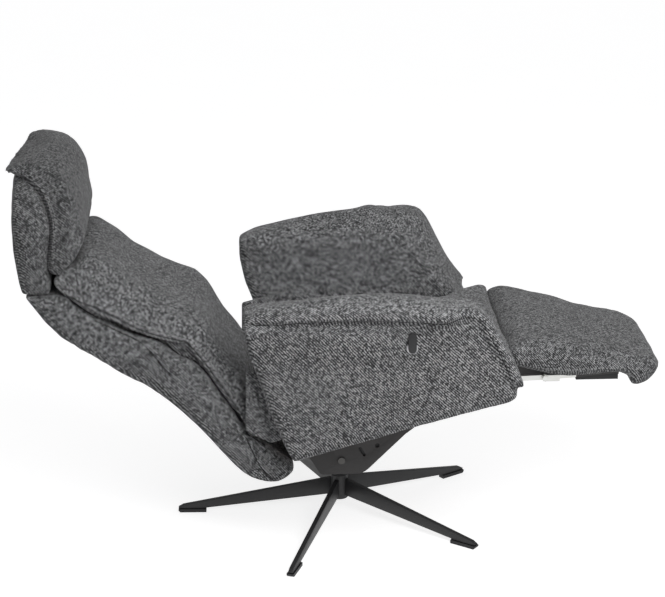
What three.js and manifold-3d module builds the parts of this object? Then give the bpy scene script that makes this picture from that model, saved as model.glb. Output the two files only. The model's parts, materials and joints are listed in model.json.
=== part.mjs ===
// A star base swivel recliner with a coupled back, seat tilt and leg rest, and a headrest that folds back.
// Millimetres and degrees. The chair faces +X, the sitter's left is +Y, and the swivel axis is Z.
import * as THREE from "three";
import { mergeVertices } from "three/addons/utils/BufferGeometryUtils.js";
import Module from "manifold-3d";

const wasm = await Module();
wasm.setup();

// Clearances and drawing steps
const fitGap = 0.3;
const pinGap = 0.4;
const softGap = 0.6;
const cutOver = 2;
const mergeWithin = 0.001;
const rodFaces = 14;
const roundFaces = 28;
const curveSteps = 8;
const cornerShare = 0.45;

// Star base
const legCount = 5;
const legHeading = 177.9;
const legReach = 365;
const legThick = 10;
const legRootLow = 45;
const legRootHigh = 86;
const legTipHigh = 17;
const legNose = 11;
const footLength = 63;
const footWidth = 16;
const footHigh = 7.7;
const footBevel = 4;
const hubRadius = 20;
const hubLow = 34;
const hubHigh = 92;
const hubBore = 12;
const bushFlange = 2;

// Spindle and carrier
const spindleRadius = 10;
const spindleLow = 37;
const spindleStub = 3;
const collarRadius = 16.5;
const carrierLow = 122;
const panThick = 6;
const panHalfLength = 46;
const sideInner = 76;
const sideThick = 4;
const sideHigh = 165;
const tiltX = 190;
const tiltRise = 140;
const tiltBoss = 17;
const axleRadius = 6;
const rivetRadius = 9;
const rivetHead = 3;
const spacerRise = 33;
const spacerRadius = 4;
const slotLength = 25;
const slotWidth = 7;
const sightHole = 10;

// Seat structure, in the seat's own frame at the tilt axle
const seatLean = 11;
const seatTilt = 8;
const guideBack = 290;
const guideRise = 29;
const guideRadius = 5;
const railThick = 6;
const railClear = 3;
const railTop = 85;
const railFront = 100;
const railRear = 335;
const railBoss = 15;
const barThick = 6;
const barWidth = 40;
const frontBarAt = 60;
const rearBarAt = 230;
const hingeBarAt = 315;
const hingeBarLap = 18;
const flangeHigh = 30;
const flangeThick = 4;
const boltRadius = 4;
const boltHead = 7;
const boltHeadThick = 3.5;
const boltGrip = 22;
const boltRise = 18;
const platformThick = 14;
const platformFront = 128;
const platformInset = 15;
const noseHalf = 149;
const noseStart = 84;
const frontTubeRadius = 10;
const frontTubeAt = 30;
const frontTubeRise = 60;

// Seat cushion
const seatHalf = 220;
const seatFront = 194;
const seatRear = 340;
const seatThick = 55;
const seatCrown = 19;
const seatRound = 16;
const seatDraw = 7;
const noseUnder = 112;
const noseRise = 146;

// Back hinge, back and its frame, in the back's own frame at the hinge
const hingeBack = 365;
const hingeRise = 140;
const hingeTuck = 3;
const lugThick = 5;
const lugRadius = 12;
const hingePin = 4;
const backLean = 51;
const backLength = 540;
const backDepth = 120;
const backHalf = 205;
const shellWall = 27;
const frameClear = 28;
const shellBack = 20;
const shellRoof = 16;
const shellRound = 9;
const cushionLap = 7;
const cushionLow = 18;
const cushionHigh = 466;
const cushionCrown = 30;
const cushionRound = 9;
const cushionFullness = 8;
const frameInset = 62;
const frameTube = 8;
const frameLow = 10;
const frameHigh = 468;
const braceLow = 100;
const braceHigh = 400;
const notchInside = 7;
const notchOutside = 1;
const notchReach = 19;

// Headrest, in its own frame at the headrest hinge
const neckInset = 90;
const neckRise = 535;
const neckRod = 4;
const neckEye = 6;
const neckGroove = 6.6;
const neckStrapInset = 22;
const neckStrapThick = 4;
const neckStrapWide = 16;
const neckStrapHigh = 120;
const neckFold = 38;
const headHigh = 250;
const headDepth = 60;
const headCorner = 100;
const headRound = 4;
const padLap = 5;
const padHigh = 285;
const padDepth = 120;
const padCrown = 9;
const padRise = 20;
const padRound = 16;

// Leg rest, in its own frame at its hinge
const legHingeAt = 176.4;
const legHingeRise = 131.8;
const legLean = 10;
const legSwing = 78;
const legAxle = 4;
const legAxleHalf = 170;
const legStart = 12.5;
const legLength = 342;
const legDraw = 46;
const legThickness = 36;
const legCrown = 17;
const legRound = 14;
const legCorner = 55;
const legUnder = 3;
const boardDrop = 38;
const boardThick = 11.7;
const boardStart = 100;
const boardEnd = 260;
const boardLap = 24;
const boxStart = 168;
const boxThick = 13;
const boxInset = 6;
const armPlateInner = 155;
const armPlateThick = 5;
const armPlateBend = 52;
const armPlateHigh = 15;
const armPlateToe = 7;
const armEye = 10;
const armEyeNeck = 12;

// Leg rest linkage
const camInner = 162;
const camThick = 5;
const camRear = 5;
const camFront = 162;
const camNeck = 7;
const camNeckFoot = 32;
const camFoot = 44;
const camShoulder = 100;
const camSlotHalf = 3.9;
const linkInner = 170;
const linkThick = 4;
const linkHalf = 5.5;
const linkPin = 3.3;
const linkSwing = 69.4;
const linkAt = 102.7;
const linkDrop = 29.6;
const linkBack = 117.7;
const linkLow = 23.8;
const bracketInner = 176;
const bracketThick = 4;
const bracketHalf = 7;
const bracketJog = 134;
const bracketEnd = 172;
const bracketEndHalf = 5;

// Gas spring
const crankForward = 12;
const crankDrop = 55;
const crankInner = 7;
const crankThick = 4;
const crankRadius = 11;
const crankPin = 5;
const eyeSlack = 2.2;
const eyeWall = 4.8;
const eyeHalf = 5;
const gasLength = 243;
const gasRadius = 11;
const gasBody = 150;
const gasRod = 4.5;
const gasRodInside = 75;
const gasBore = 100;
const anchorRadius = 5;

// Arms
const armBack = 397;
const armDrop = 19;
const armLength = 569;
const armHigh = 347;
const armClear = 16;
const armPadLap = 4;
const armRearWide = 64;
const armFrontWide = 136;
const armWideAt = 412;
const armOverhang = 16;
const armBevel = 4;
const armPadThick = 38;
const armPadCrown = 5;
const armPadRound = 8;

// Release lever on the right arm
const leverX = 336;
const leverRise = 271;
const rosetteRadius = 12;
const rosetteThick = 5;
const leverShaft = 4;
const leverGrip = 20;
const paddleWide = 17;
const paddleLong = 45;
const paddleThick = 8;

const quarter = Math.PI / 2;
const shellHalf = backHalf;
const cushionHalf = backHalf + cushionLap;
const headHalf = backHalf;
const padHalf = backHalf + padLap;
const frameHalf = backHalf - shellWall - frameClear;
const hingeInner = frameHalf - hingeTuck;
const hingeBarHalf = hingeInner + hingeBarLap;
const notchInner = hingeInner - notchInside;
const notchOuter = hingeBarHalf + notchOutside;
const neckHalf = frameHalf - frameTube;
const neckStrapAt = neckHalf - neckStrapInset;
const platformHalf = seatHalf - platformInset;
const legHalf = seatHalf;
const legHalfEnd = legHalf - legDraw;
const armInner = seatHalf + armClear;
const armPadInner = armInner - armPadLap;
const armRearOuter = armInner + armRearWide;
const armFrontOuter = armInner + armFrontWide;
const radians = THREE.MathUtils.degToRad;

const black = new THREE.MeshStandardMaterial({ color: 0x2d2d2e, roughness: 0.55, metalness: 0.4 });
const darkSteel = new THREE.MeshStandardMaterial({ color: 0x3f3d3d, roughness: 0.5, metalness: 0.5 });
const zinc = new THREE.MeshStandardMaterial({ color: 0xb9babb, roughness: 0.35, metalness: 0.9 });
const chrome = new THREE.MeshStandardMaterial({ color: 0xd8d8da, roughness: 0.12, metalness: 1 });
const plastic = new THREE.MeshStandardMaterial({ color: 0x1c1c1d, roughness: 0.6, metalness: 0 });
const plywood = new THREE.MeshStandardMaterial({ color: 0xc7a777, roughness: 0.7, metalness: 0 });
const fabric = new THREE.MeshStandardMaterial({ color: 0x4a4b4e, roughness: 0.95, metalness: 0 });

// A closed geometry as a manifold solid, and back
function solidOf(geometry) {
  const bare = geometry.index ? geometry.toNonIndexed() : geometry.clone();
  bare.deleteAttribute("normal");
  bare.deleteAttribute("uv");
  const merged = mergeVertices(bare, mergeWithin);
  const vertProperties = merged.attributes.position.array;
  const triVerts = new Uint32Array(merged.index.array);
  return new wasm.Manifold(new wasm.Mesh({ numProp: 3, vertProperties, triVerts }));
}

function geometryOf(solid) {
  const mesh = solid.getMesh();
  const geometry = new THREE.BufferGeometry();
  geometry.setAttribute("position", new THREE.BufferAttribute(mesh.vertProperties, 3));
  geometry.setIndex(new THREE.BufferAttribute(mesh.triVerts, 1));
  geometry.computeVertexNormals();
  return geometry;
}

function cut(geometry, ...tools) {
  return geometryOf(tools.reduce((solid, tool) => solid.subtract(solidOf(tool)), solidOf(geometry)));
}

function join(geometry, ...others) {
  return geometryOf(others.reduce((solid, other) => solid.add(solidOf(other)), solidOf(geometry)));
}

function common(geometry, other) {
  return geometryOf(solidOf(geometry).intersect(solidOf(other)));
}

// A block cut back so that it clears a piece with this side view
function clearOf(geometry, shape, fromY, toY) {
  const piece = sidePlate(shape, fromY, toY);
  const forward = piece.clone().translate(softGap, 0, 0);
  const upward = piece.clone().translate(0, 0, softGap);
  return cut(geometry, piece, forward, upward);
}

// A point of a side view turned about the origin, from +X towards +Z
function turned(x, z, degrees) {
  const angle = radians(degrees);
  return [x * Math.cos(angle) - z * Math.sin(angle), x * Math.sin(angle) + z * Math.cos(angle)];
}

// A side view's outline through points [x, z, corner radius]
function outline(points) {
  const shape = new THREE.Shape();
  points.forEach(([x, z, wanted = 0], i) => {
    const here = new THREE.Vector2(x, z);
    const before = new THREE.Vector2(...points.at(i - 1).slice(0, 2)).sub(here);
    const after = new THREE.Vector2(...points[(i + 1) % points.length].slice(0, 2)).sub(here);
    const radius = Math.min(wanted, cornerShare * before.length(), cornerShare * after.length());
    const enter = here.clone().add(before.setLength(radius));
    const leave = here.clone().add(after.setLength(radius));
    if (i === 0) shape.moveTo(enter.x, enter.y);
    else shape.lineTo(enter.x, enter.y);
    if (radius > 0) shape.quadraticCurveTo(x, z, leave.x, leave.y);
  });
  shape.closePath();
  return shape;
}

function shared(shares, length, height) {
  return shares.map(([x, z, ...rest]) => [x * length, z * height, ...rest]);
}

// A side view's shape given thickness between two places across the chair
function sidePlate(shape, fromY, toY, bevel = 0) {
  const geometry = new THREE.ExtrudeGeometry(shape, {
    depth: toY - fromY - 2 * bevel,
    curveSegments: curveSteps / 2,
    bevelEnabled: bevel > 0,
    bevelThickness: bevel,
    bevelSize: bevel,
    bevelOffset: -bevel,
    bevelSegments: 1,
  });
  return geometry.rotateX(quarter).translate(0, toY - bevel, 0);
}

function crossRod(radius, x, z, fromY, toY) {
  const rod = new THREE.CylinderGeometry(radius, radius, toY - fromY, rodFaces);
  return rod.translate(x, (fromY + toY) / 2, z);
}

function lengthRod(radius, z, fromX, toX) {
  const rod = new THREE.CylinderGeometry(radius, radius, toX - fromX, rodFaces);
  return rod.rotateZ(quarter).translate((fromX + toX) / 2, 0, z);
}

function turnedAboutZ(profile) {
  const points = profile.map(([radius, z]) => new THREE.Vector2(radius, z));
  points.push(points[0].clone());
  return new THREE.LatheGeometry(points, roundFaces).rotateX(quarter);
}

function box(fromX, toX, fromY, toY, fromZ, toZ) {
  const geometry = new THREE.BoxGeometry(toX - fromX, toY - fromY, toZ - fromZ);
  return geometry.translate((fromX + toX) / 2, (fromY + toY) / 2, (fromZ + toZ) / 2);
}

// A circle or an arc-ended strip as points of a side view
function strip(path, half) {
  const edge = (point, next, side) => {
    const across = next.clone().sub(point).rotateAround(new THREE.Vector2(), quarter).setLength(half * side);
    return point.clone().add(across);
  };
  const left = path.slice(0, -1).map((point, i) => edge(point, path[i + 1], 1));
  const right = path.slice(0, -1).map((point, i) => edge(point, path[i + 1], -1));
  const last = path.at(-1);
  const runOut = last.clone().add(last.clone().sub(path.at(-2)));
  const cap = (centre, start) => {
    const turns = Array.from({ length: curveSteps - 1 }, (_, i) => -Math.PI * ((i + 1) / curveSteps));
    return turns.map((turn) => start.clone().rotateAround(centre, turn));
  };
  left.push(edge(last, runOut, 1));
  right.push(edge(last, runOut, -1));
  const points = [...left, ...cap(last, left.at(-1)), ...right.reverse(), ...cap(path[0], right.at(-1))];
  return new THREE.Shape(points);
}

// A soft block with rounded edges: place() moves each of its points to where the cushion has it
function softBlock(size, round, spans, place, cornerSteps = 2) {
  const counts = spans.map((span) => span + 2 * cornerSteps);
  const geometry = new THREE.BoxGeometry(...counts, ...counts);
  const position = geometry.attributes.position;
  const point = new THREE.Vector3();
  for (let i = 0; i < position.count; i += 1) {
    point.fromBufferAttribute(position, i);
    const core = new THREE.Vector3();
    point.toArray().forEach((value, axis) => {
      const half = size[axis] / 2 - round;
      const flat = counts[axis] / 2 - cornerSteps;
      const past = Math.max(Math.abs(value) - flat, 0);
      const inner = Math.sign(value) * Math.min(Math.abs(value), flat) * (half / flat);
      core.setComponent(axis, inner);
      const turn = (past / cornerSteps) * (quarter / 2);
      point.setComponent(axis, inner + Math.sign(value) * round * Math.tan(turn));
    });
    const outward = point.clone().sub(core).setLength(round);
    const spot = place(core.add(outward));
    position.setXYZ(i, spot.x, spot.y, spot.z);
  }
  geometry.deleteAttribute("uv");
  geometry.deleteAttribute("normal");
  const merged = mergeVertices(geometry, mergeWithin);
  merged.computeVertexNormals();
  return merged;
}

// How far a side lies in at a distance from an end whose corner has this radius
function cornerDraw(reach, radius) {
  const left = Math.max(radius - Math.max(reach, 0), 0);
  return radius - Math.sqrt(radius * radius - left * left);
}

function curveThrough(shares, length, height) {
  return new THREE.SplineCurve(shares.map(([x, z]) => new THREE.Vector2(x * length, z * height)));
}

// The value that a table of [place, value] shares has at a place
function valueAt(shares, place) {
  const next = shares.findIndex(([at]) => at >= place);
  if (next === -1) return shares.at(-1)[1];
  if (next === 0) return shares[0][1];
  const [fromAt, from] = shares[next - 1];
  const [toAt, to] = shares[next];
  return from + ((to - from) * (place - fromAt)) / (toAt - fromAt);
}

function add(group, name, geometry, material, mirrored = false) {
  const mesh = new THREE.Mesh(geometry, material);
  mesh.name = name;
  if (mirrored) mesh.scale.y = -1;
  group.add(mesh);
  return mesh;
}

function addPair(group, name, geometry, material) {
  add(group, `${name}_left`, geometry, material);
  add(group, `${name}_right`, geometry, material, true);
}

// Places of the axes in the chair's frame
const tiltZ = carrierLow + tiltRise;
const seatPoint = (along, up) => {
  const [x, z] = turned(along, up, seatLean);
  return [tiltX + x, tiltZ + z];
};
const [backX, backZ] = seatPoint(-hingeBack, hingeRise);
const [legX, legZ] = seatPoint(legHingeAt, legHingeRise);
const backPoint = (forward, up) => {
  const [x, z] = turned(forward, up, backLean);
  return [backX + x, backZ + z];
};
const [neckX, neckZ] = backPoint(-neckInset, neckRise);
const crankX = backX + crankForward;
const crankZ = backZ - crankDrop;
const anchorX = crankX + gasLength;

const chair = new THREE.Group();
const groupAt = (x, z, lean) => {
  const group = new THREE.Group();
  group.position.set(x, 0, z);
  group.rotation.y = radians(-lean);
  chair.add(group);
  return group;
};
const seat = groupAt(tiltX, tiltZ, seatLean);
const back = groupAt(backX, backZ, backLean);
const head = groupAt(neckX, neckZ, 0);
const legRest = groupAt(legX, legZ, -legLean);
const arms = groupAt(tiltX - armBack, tiltZ - armDrop, 0);

function buildStarBase() {
  const heel = legReach - footLength;
  const underside = footHigh + fitGap;
  const blade = outline([
    [0, legRootLow],
    [heel, underside + footBevel / 2],
    [heel, underside],
    [legReach - legNose / 4, underside],
    [legReach, underside + legNose / 4],
    [legReach - legNose, legTipHigh],
    [0, legRootHigh],
  ]);
  const clearRadius = hubRadius + fitGap;
  const clearHub = new THREE.CylinderGeometry(clearRadius, clearRadius, hubHigh * 2, roundFaces);
  const leg = cut(sidePlate(blade, -legThick / 2, legThick / 2), clearHub.rotateX(quarter), behindHub());
  const foot = sidePlate(
    outline([
      [heel, 0],
      [legReach - footBevel, 0],
      [legReach, footBevel],
      [legReach, footHigh],
      [heel, footHigh],
    ]),
    -footWidth / 2,
    footWidth / 2,
  );
  for (let i = 0; i < legCount; i += 1) {
    const spoke = new THREE.Group();
    spoke.rotation.z = radians(legHeading + (i * 360) / legCount);
    chair.add(spoke);
    add(spoke, `star_leg_${i + 1}`, leg, black);
    add(spoke, `foot_glide_${i + 1}`, foot, plastic);
  }
  const hub = turnedAboutZ([
    [hubBore, hubLow],
    [hubRadius - 1, hubLow],
    [hubRadius, hubLow + 1],
    [hubRadius, hubHigh - 1],
    [hubRadius - 1, hubHigh],
    [hubBore, hubHigh],
  ]);
  add(chair, "base_hub", hub, black);
  const bushOuter = hubBore - fitGap;
  const bushInner = spindleRadius + fitGap;
  const bush = turnedAboutZ([
    [bushInner, hubLow],
    [bushOuter, hubLow],
    [bushOuter, hubHigh + fitGap],
    [hubRadius - 1, hubHigh + fitGap],
    [hubRadius - 1, hubHigh + fitGap + bushFlange],
    [bushInner, hubHigh + fitGap + bushFlange],
  ]);
  add(chair, "swivel_bush", bush, plastic);
}

// The half of a blade's root that would stand on the hub's far side
function behindHub() {
  return box(-hubRadius - cutOver, 0, -legThick, legThick, 0, hubHigh * 2);
}

function buildCarrier() {
  const collarLow = hubHigh + 2 * fitGap + bushFlange;
  const spindle = turnedAboutZ([
    [0, spindleLow],
    [spindleRadius, spindleLow],
    [spindleRadius, collarLow],
    [collarRadius, collarLow],
    [collarRadius, carrierLow - fitGap],
    [spindleRadius, carrierLow - fitGap],
    [spindleRadius, carrierLow + panThick + spindleStub],
    [0, carrierLow + panThick + spindleStub],
  ]);
  add(chair, "swivel_spindle", spindle, darkSteel);

  const panHalf = sideInner - fitGap;
  const rearShares = [
    [-1, 0],
    [-1.7, 0.32],
    [-2.52, 0.68],
  ];
  const rear = shared(rearShares, panHalfLength, sideHigh);
  const thickShare = panThick / sideHigh;
  const pan = outline([
    ...rear.slice(1).reverse().map(([x, z]) => [x, z + carrierLow]),
    [-panHalfLength, carrierLow, panThick],
    [panHalfLength, carrierLow],
    [panHalfLength, carrierLow + panThick],
    [-panHalfLength + panThick / 2, carrierLow + panThick],
    ...rear.slice(1).map(([x, z]) => [x + panThick, z + thickShare + carrierLow]),
  ]);
  const stubRadius = spindleRadius + fitGap;
  const stubHole = new THREE.CylinderGeometry(stubRadius, stubRadius, tiltRise, roundFaces);
  const stubPlaced = stubHole.rotateX(quarter).translate(0, 0, carrierLow);
  const panSolid = cut(sidePlate(pan, -panHalf, panHalf), stubPlaced);
  add(chair, "carrier_pan", panSolid, darkSteel);

  const sideShares = [
    [-1, 0, panThick],
    [1.05, 0, tiltBoss],
    [3.07, 0.56],
    [4.45, 0.86, tiltBoss / 2],
    [4.32, 0.95, tiltBoss / 2],
    [3.6, 0.94, tiltBoss],
    [1.3, 0.76, tiltBoss],
    [-1.3, 0.8, tiltBoss],
    [-1.88, 1, panThick],
    [-2.46, 1, panThick],
    [-2.78, 0.79, panThick],
    [-1.7, 0.32],
  ];
  const side = outline(shared(sideShares, panHalfLength, sideHigh).map(([x, z, r]) => [x, z + carrierLow, r]));
  const guideArm = Math.hypot(guideBack, guideRise);
  const guideRest = 180 - THREE.MathUtils.radToDeg(Math.atan2(guideRise, guideBack)) + seatLean;
  const guidePath = Array.from({ length: curveSteps + 1 }, (_, i) => {
    const [x, z] = turned(guideArm, 0, guideRest - (seatTilt * i) / curveSteps);
    return new THREE.Vector2(tiltX + x, tiltZ + z);
  });
  const slotX = panHalfLength;
  const sightX = tiltX - 2.4 * panHalfLength;
  const slotZ = carrierLow + tiltRise * 0.38;
  const slotRun = turned(slotLength - slotWidth, 0, -60).map((value) => value / 2);
  const slotPath = [-1, 0, 1].map(
    (end) => new THREE.Vector2(slotX + slotRun[0] * end, slotZ + slotRun[1] * end),
  );
  const spacerZ = carrierLow + spacerRise;
  const outer = sideInner + sideThick;
  const holes = [
    sidePlate(strip(guidePath, guideRadius + pinGap), sideInner - cutOver, outer + cutOver),
    sidePlate(strip(slotPath, slotWidth / 2), sideInner - cutOver, outer + cutOver),
    crossRod(sightHole / 2, sightX, slotZ + slotWidth * 2, sideInner - cutOver, outer + cutOver),
    crossRod(axleRadius + pinGap, tiltX, tiltZ, sideInner - cutOver, outer + cutOver),
    crossRod(spacerRadius + pinGap, 0, spacerZ, sideInner - cutOver, outer + cutOver),
  ];
  addPair(chair, "carrier_side", cut(sidePlate(side, sideInner, outer), ...holes), darkSteel);

  const railOuter = outer + railClear + railThick;
  const rivet = (from) => crossRod(rivetRadius, tiltX, tiltZ, from, from + rivetHead);
  const axle = join(
    crossRod(axleRadius, tiltX, tiltZ, -railOuter - rivetHead, railOuter + rivetHead),
    rivet(railOuter + fitGap),
    rivet(-railOuter - fitGap - rivetHead),
    crossRod(rivetRadius, tiltX, tiltZ, outer + fitGap, outer + railClear - fitGap),
    crossRod(rivetRadius, tiltX, tiltZ, -outer - railClear + fitGap, -outer - fitGap),
  );
  add(chair, "tilt_axle", axle, zinc);
  const spacerHead = spacerRadius * 2;
  const spacer = join(
    crossRod(spacerRadius, 0, spacerZ, -outer - rivetHead, outer + rivetHead),
    crossRod(spacerHead, 0, spacerZ, outer + fitGap, outer + fitGap + rivetHead),
    crossRod(spacerHead, 0, spacerZ, -outer - fitGap - rivetHead, -outer - fitGap),
  );
  add(chair, "spacer_bolt", spacer, black);
}

function buildSeatFrame() {
  const railInner = sideInner + sideThick + railClear;
  const railOuter = railInner + railThick;
  const rail = outline([
    [-railBoss, -railBoss, railBoss],
    [railBoss, -railBoss, railBoss],
    [railFront, frontTubeRise - frontTubeRadius, railBoss],
    [railFront, railTop, railBoss / 2],
    [-railRear, railTop, railBoss / 2],
    [-railRear, guideRise + railBoss, railBoss],
    [-guideBack - railBoss, guideRise - railBoss, railBoss],
    [-guideBack + railBoss, guideRise - railBoss, railBoss / 2],
    [-anchorBack() - railBoss, anchorRise() - railBoss, railBoss],
    [-anchorBack() + railBoss, anchorRise() - railBoss, railBoss],
  ]);
  const through = (radius, x, z) => crossRod(radius, x, z, railInner - cutOver, railOuter + cutOver);
  const railSolid = cut(
    sidePlate(rail, railInner, railOuter),
    through(axleRadius + pinGap, 0, 0),
    through(guideRadius + fitGap, -guideBack, guideRise),
    through(frontTubeRadius + fitGap, frontTubeAt, frontTubeRise),
    through(anchorRadius + fitGap, -anchorBack(), anchorRise()),
  );
  addPair(seat, "seat_rail", railSolid, black);

  const headed = (radius, x, z) =>
    join(
      crossRod(radius, x, z, -railOuter - rivetHead, railOuter + rivetHead),
      crossRod(radius + rivetHead, x, z, railOuter + fitGap, railOuter + fitGap + rivetHead),
      crossRod(radius + rivetHead, x, z, -railOuter - fitGap - rivetHead, -railOuter - fitGap),
    );
  add(seat, "guide_pin", headed(guideRadius, -guideBack, guideRise), zinc);
  add(seat, "gas_spring_anchor", headed(anchorRadius, -anchorBack(), anchorRise()), zinc);
  const tubeHalf = camInner - fitGap;
  const frontTube = crossRod(frontTubeRadius, frontTubeAt, frontTubeRise, -tubeHalf, tubeHalf);
  add(seat, "front_cross_tube", frontTube, black);

  const barLow = railTop + fitGap;
  const barHigh = barLow + barThick;
  const barHalf = armInner - fitGap;
  const flange = (at, side) => {
    const inner = barHalf - flangeThick;
    const [from, to] = side > 0 ? [inner, barHalf] : [-barHalf, -inner];
    const plate = box(at - barWidth / 2, at + barWidth / 2, from, to, barLow, barHigh + flangeHigh);
    return cut(plate, crossRod(boltRadius + fitGap, at, barHigh + boltRise, from - cutOver, to + cutOver));
  };
  const armBar = (at) =>
    join(
      box(at - barWidth / 2, at + barWidth / 2, -barHalf, barHalf, barLow, barHigh),
      flange(at, 1),
      flange(at, -1),
    );
  add(seat, "arm_bar_front", armBar(frontBarAt), black);
  add(seat, "arm_bar_rear", armBar(-rearBarAt), black);
  const bolt = (at) => {
    const head = barHalf - flangeThick - fitGap;
    const shank = crossRod(boltRadius, at, barHigh + boltRise, head - boltHeadThick, armInner + boltGrip);
    return join(shank, crossRod(boltHead, at, barHigh + boltRise, head - boltHeadThick, head));
  };
  addPair(seat, "arm_bolt_front", bolt(frontBarAt), zinc);
  addPair(seat, "arm_bolt_rear", bolt(-rearBarAt), zinc);

  const lug = outline([
    [-hingeBarAt + barWidth / 2, barLow],
    [-hingeBarAt + barWidth / 2, barHigh + platformThick - softGap],
    [-seatRear - softGap * 4, barHigh + platformThick - softGap, lugRadius / 2],
    [-hingeBack + lugRadius, hingeRise],
    [-hingeBack + lugRadius, hingeRise + lugRadius, lugRadius],
    [-hingeBack - lugRadius, hingeRise + lugRadius, lugRadius],
    [-hingeBack - lugRadius, barLow, lugRadius],
  ]);
  const lugOuter = hingeInner + lugThick;
  const studEnd = lugOuter + 3 * fitGap + lugThick;
  const stud = (radius, from, to) => [
    crossRod(radius, -hingeBack, hingeRise, from, to),
    crossRod(radius, -hingeBack, hingeRise, -to, -from),
  ];
  const hingeBar = join(
    box(-hingeBarAt - barWidth / 2, -hingeBarAt + barWidth / 2, -hingeBarHalf, hingeBarHalf, barLow, barHigh),
    sidePlate(lug, hingeInner, lugOuter),
    sidePlate(lug, -lugOuter, -hingeInner),
    ...stud(hingePin, hingeInner, studEnd + rivetHead),
    ...stud(hingePin + rivetHead, studEnd, studEnd + rivetHead),
  );
  add(seat, "back_hinge_bar", hingeBar, black);

  const boardLow = barHigh + fitGap;
  const boardHigh = boardLow + platformThick;
  const slotFor = (side) => {
    const [from, to] = side > 0 ? [hingeInner, lugOuter] : [-lugOuter, -hingeInner];
    const room = box(
      -seatRear - cutOver,
      -hingeBarAt + barWidth / 2 + cutOver,
      from - railClear,
      to + railClear,
      barLow,
      boardHigh + cutOver,
    );
    return room;
  };
  const platform = cut(
    join(
      box(-seatRear + barThick, noseStart, -platformHalf, platformHalf, boardLow, boardHigh),
      box(noseStart - cutOver, platformFront, -noseHalf, noseHalf, boardLow, boardHigh),
    ),
    slotFor(1),
    slotFor(-1),
  );
  add(seat, "seat_platform", platform, plywood);
}

function anchorBack() {
  return -turned(anchorX - tiltX, crankZ - tiltZ, -seatLean)[0];
}

function anchorRise() {
  return turned(anchorX - tiltX, crankZ - tiltZ, -seatLean)[1];
}

const crownAcrossShares = [
  [0, 0],
  [0.12, 0.55],
  [0.35, 0.95],
  [0.6, 1],
  [0.85, 0.7],
  [1, 0],
];

function buildSeatCushion() {
  const length = seatFront + seatRear;
  const low = railTop + 2 * fitGap + barThick + platformThick + fitGap;
  const place = ({ x, y, z }) => {
    const share = x / length + 0.5;
    const level = z / seatThick + 0.5;
    const across = y / seatHalf;
    const crown = seatCrown * valueAt(crownAcrossShares, share) * (1 - across * across);
    const draw = seatDraw * (Math.pow(2 * share - 1, 4) + Math.pow(2 * level - 1, 2)) * across;
    const up = low + level * (seatThick + crown);
    return new THREE.Vector3(x + (seatFront - seatRear) / 2, y - draw / 2, up);
  };
  const block = softBlock([length, 2 * seatHalf, seatThick], seatRound, [8, 6, 1], place);
  const underHalf = seatHalf + cutOver;
  const under = box(noseUnder, seatFront + cutOver, -underHalf, underHalf, low - cutOver, noseRise);
  add(seat, "seat_cushion", cut(block, under), fabric);
}

// Leg rest linkage: the link's rear pin runs in a slot that a cam plate on the seat holds
function camPath(share) {
  const fromHinge = turned(linkAt, -linkDrop, -legLean - legSwing * share);
  const alongLink = turned(-linkBack, -linkLow, -legLean - (legSwing - linkSwing) * share);
  const x = fromHinge[0] + alongLink[0];
  const z = fromHinge[1] + alongLink[1];
  const [along, up] = turned(x, z, -seatLean);
  return new THREE.Vector2(legHingeAt + along, legHingeRise + up);
}

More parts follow.
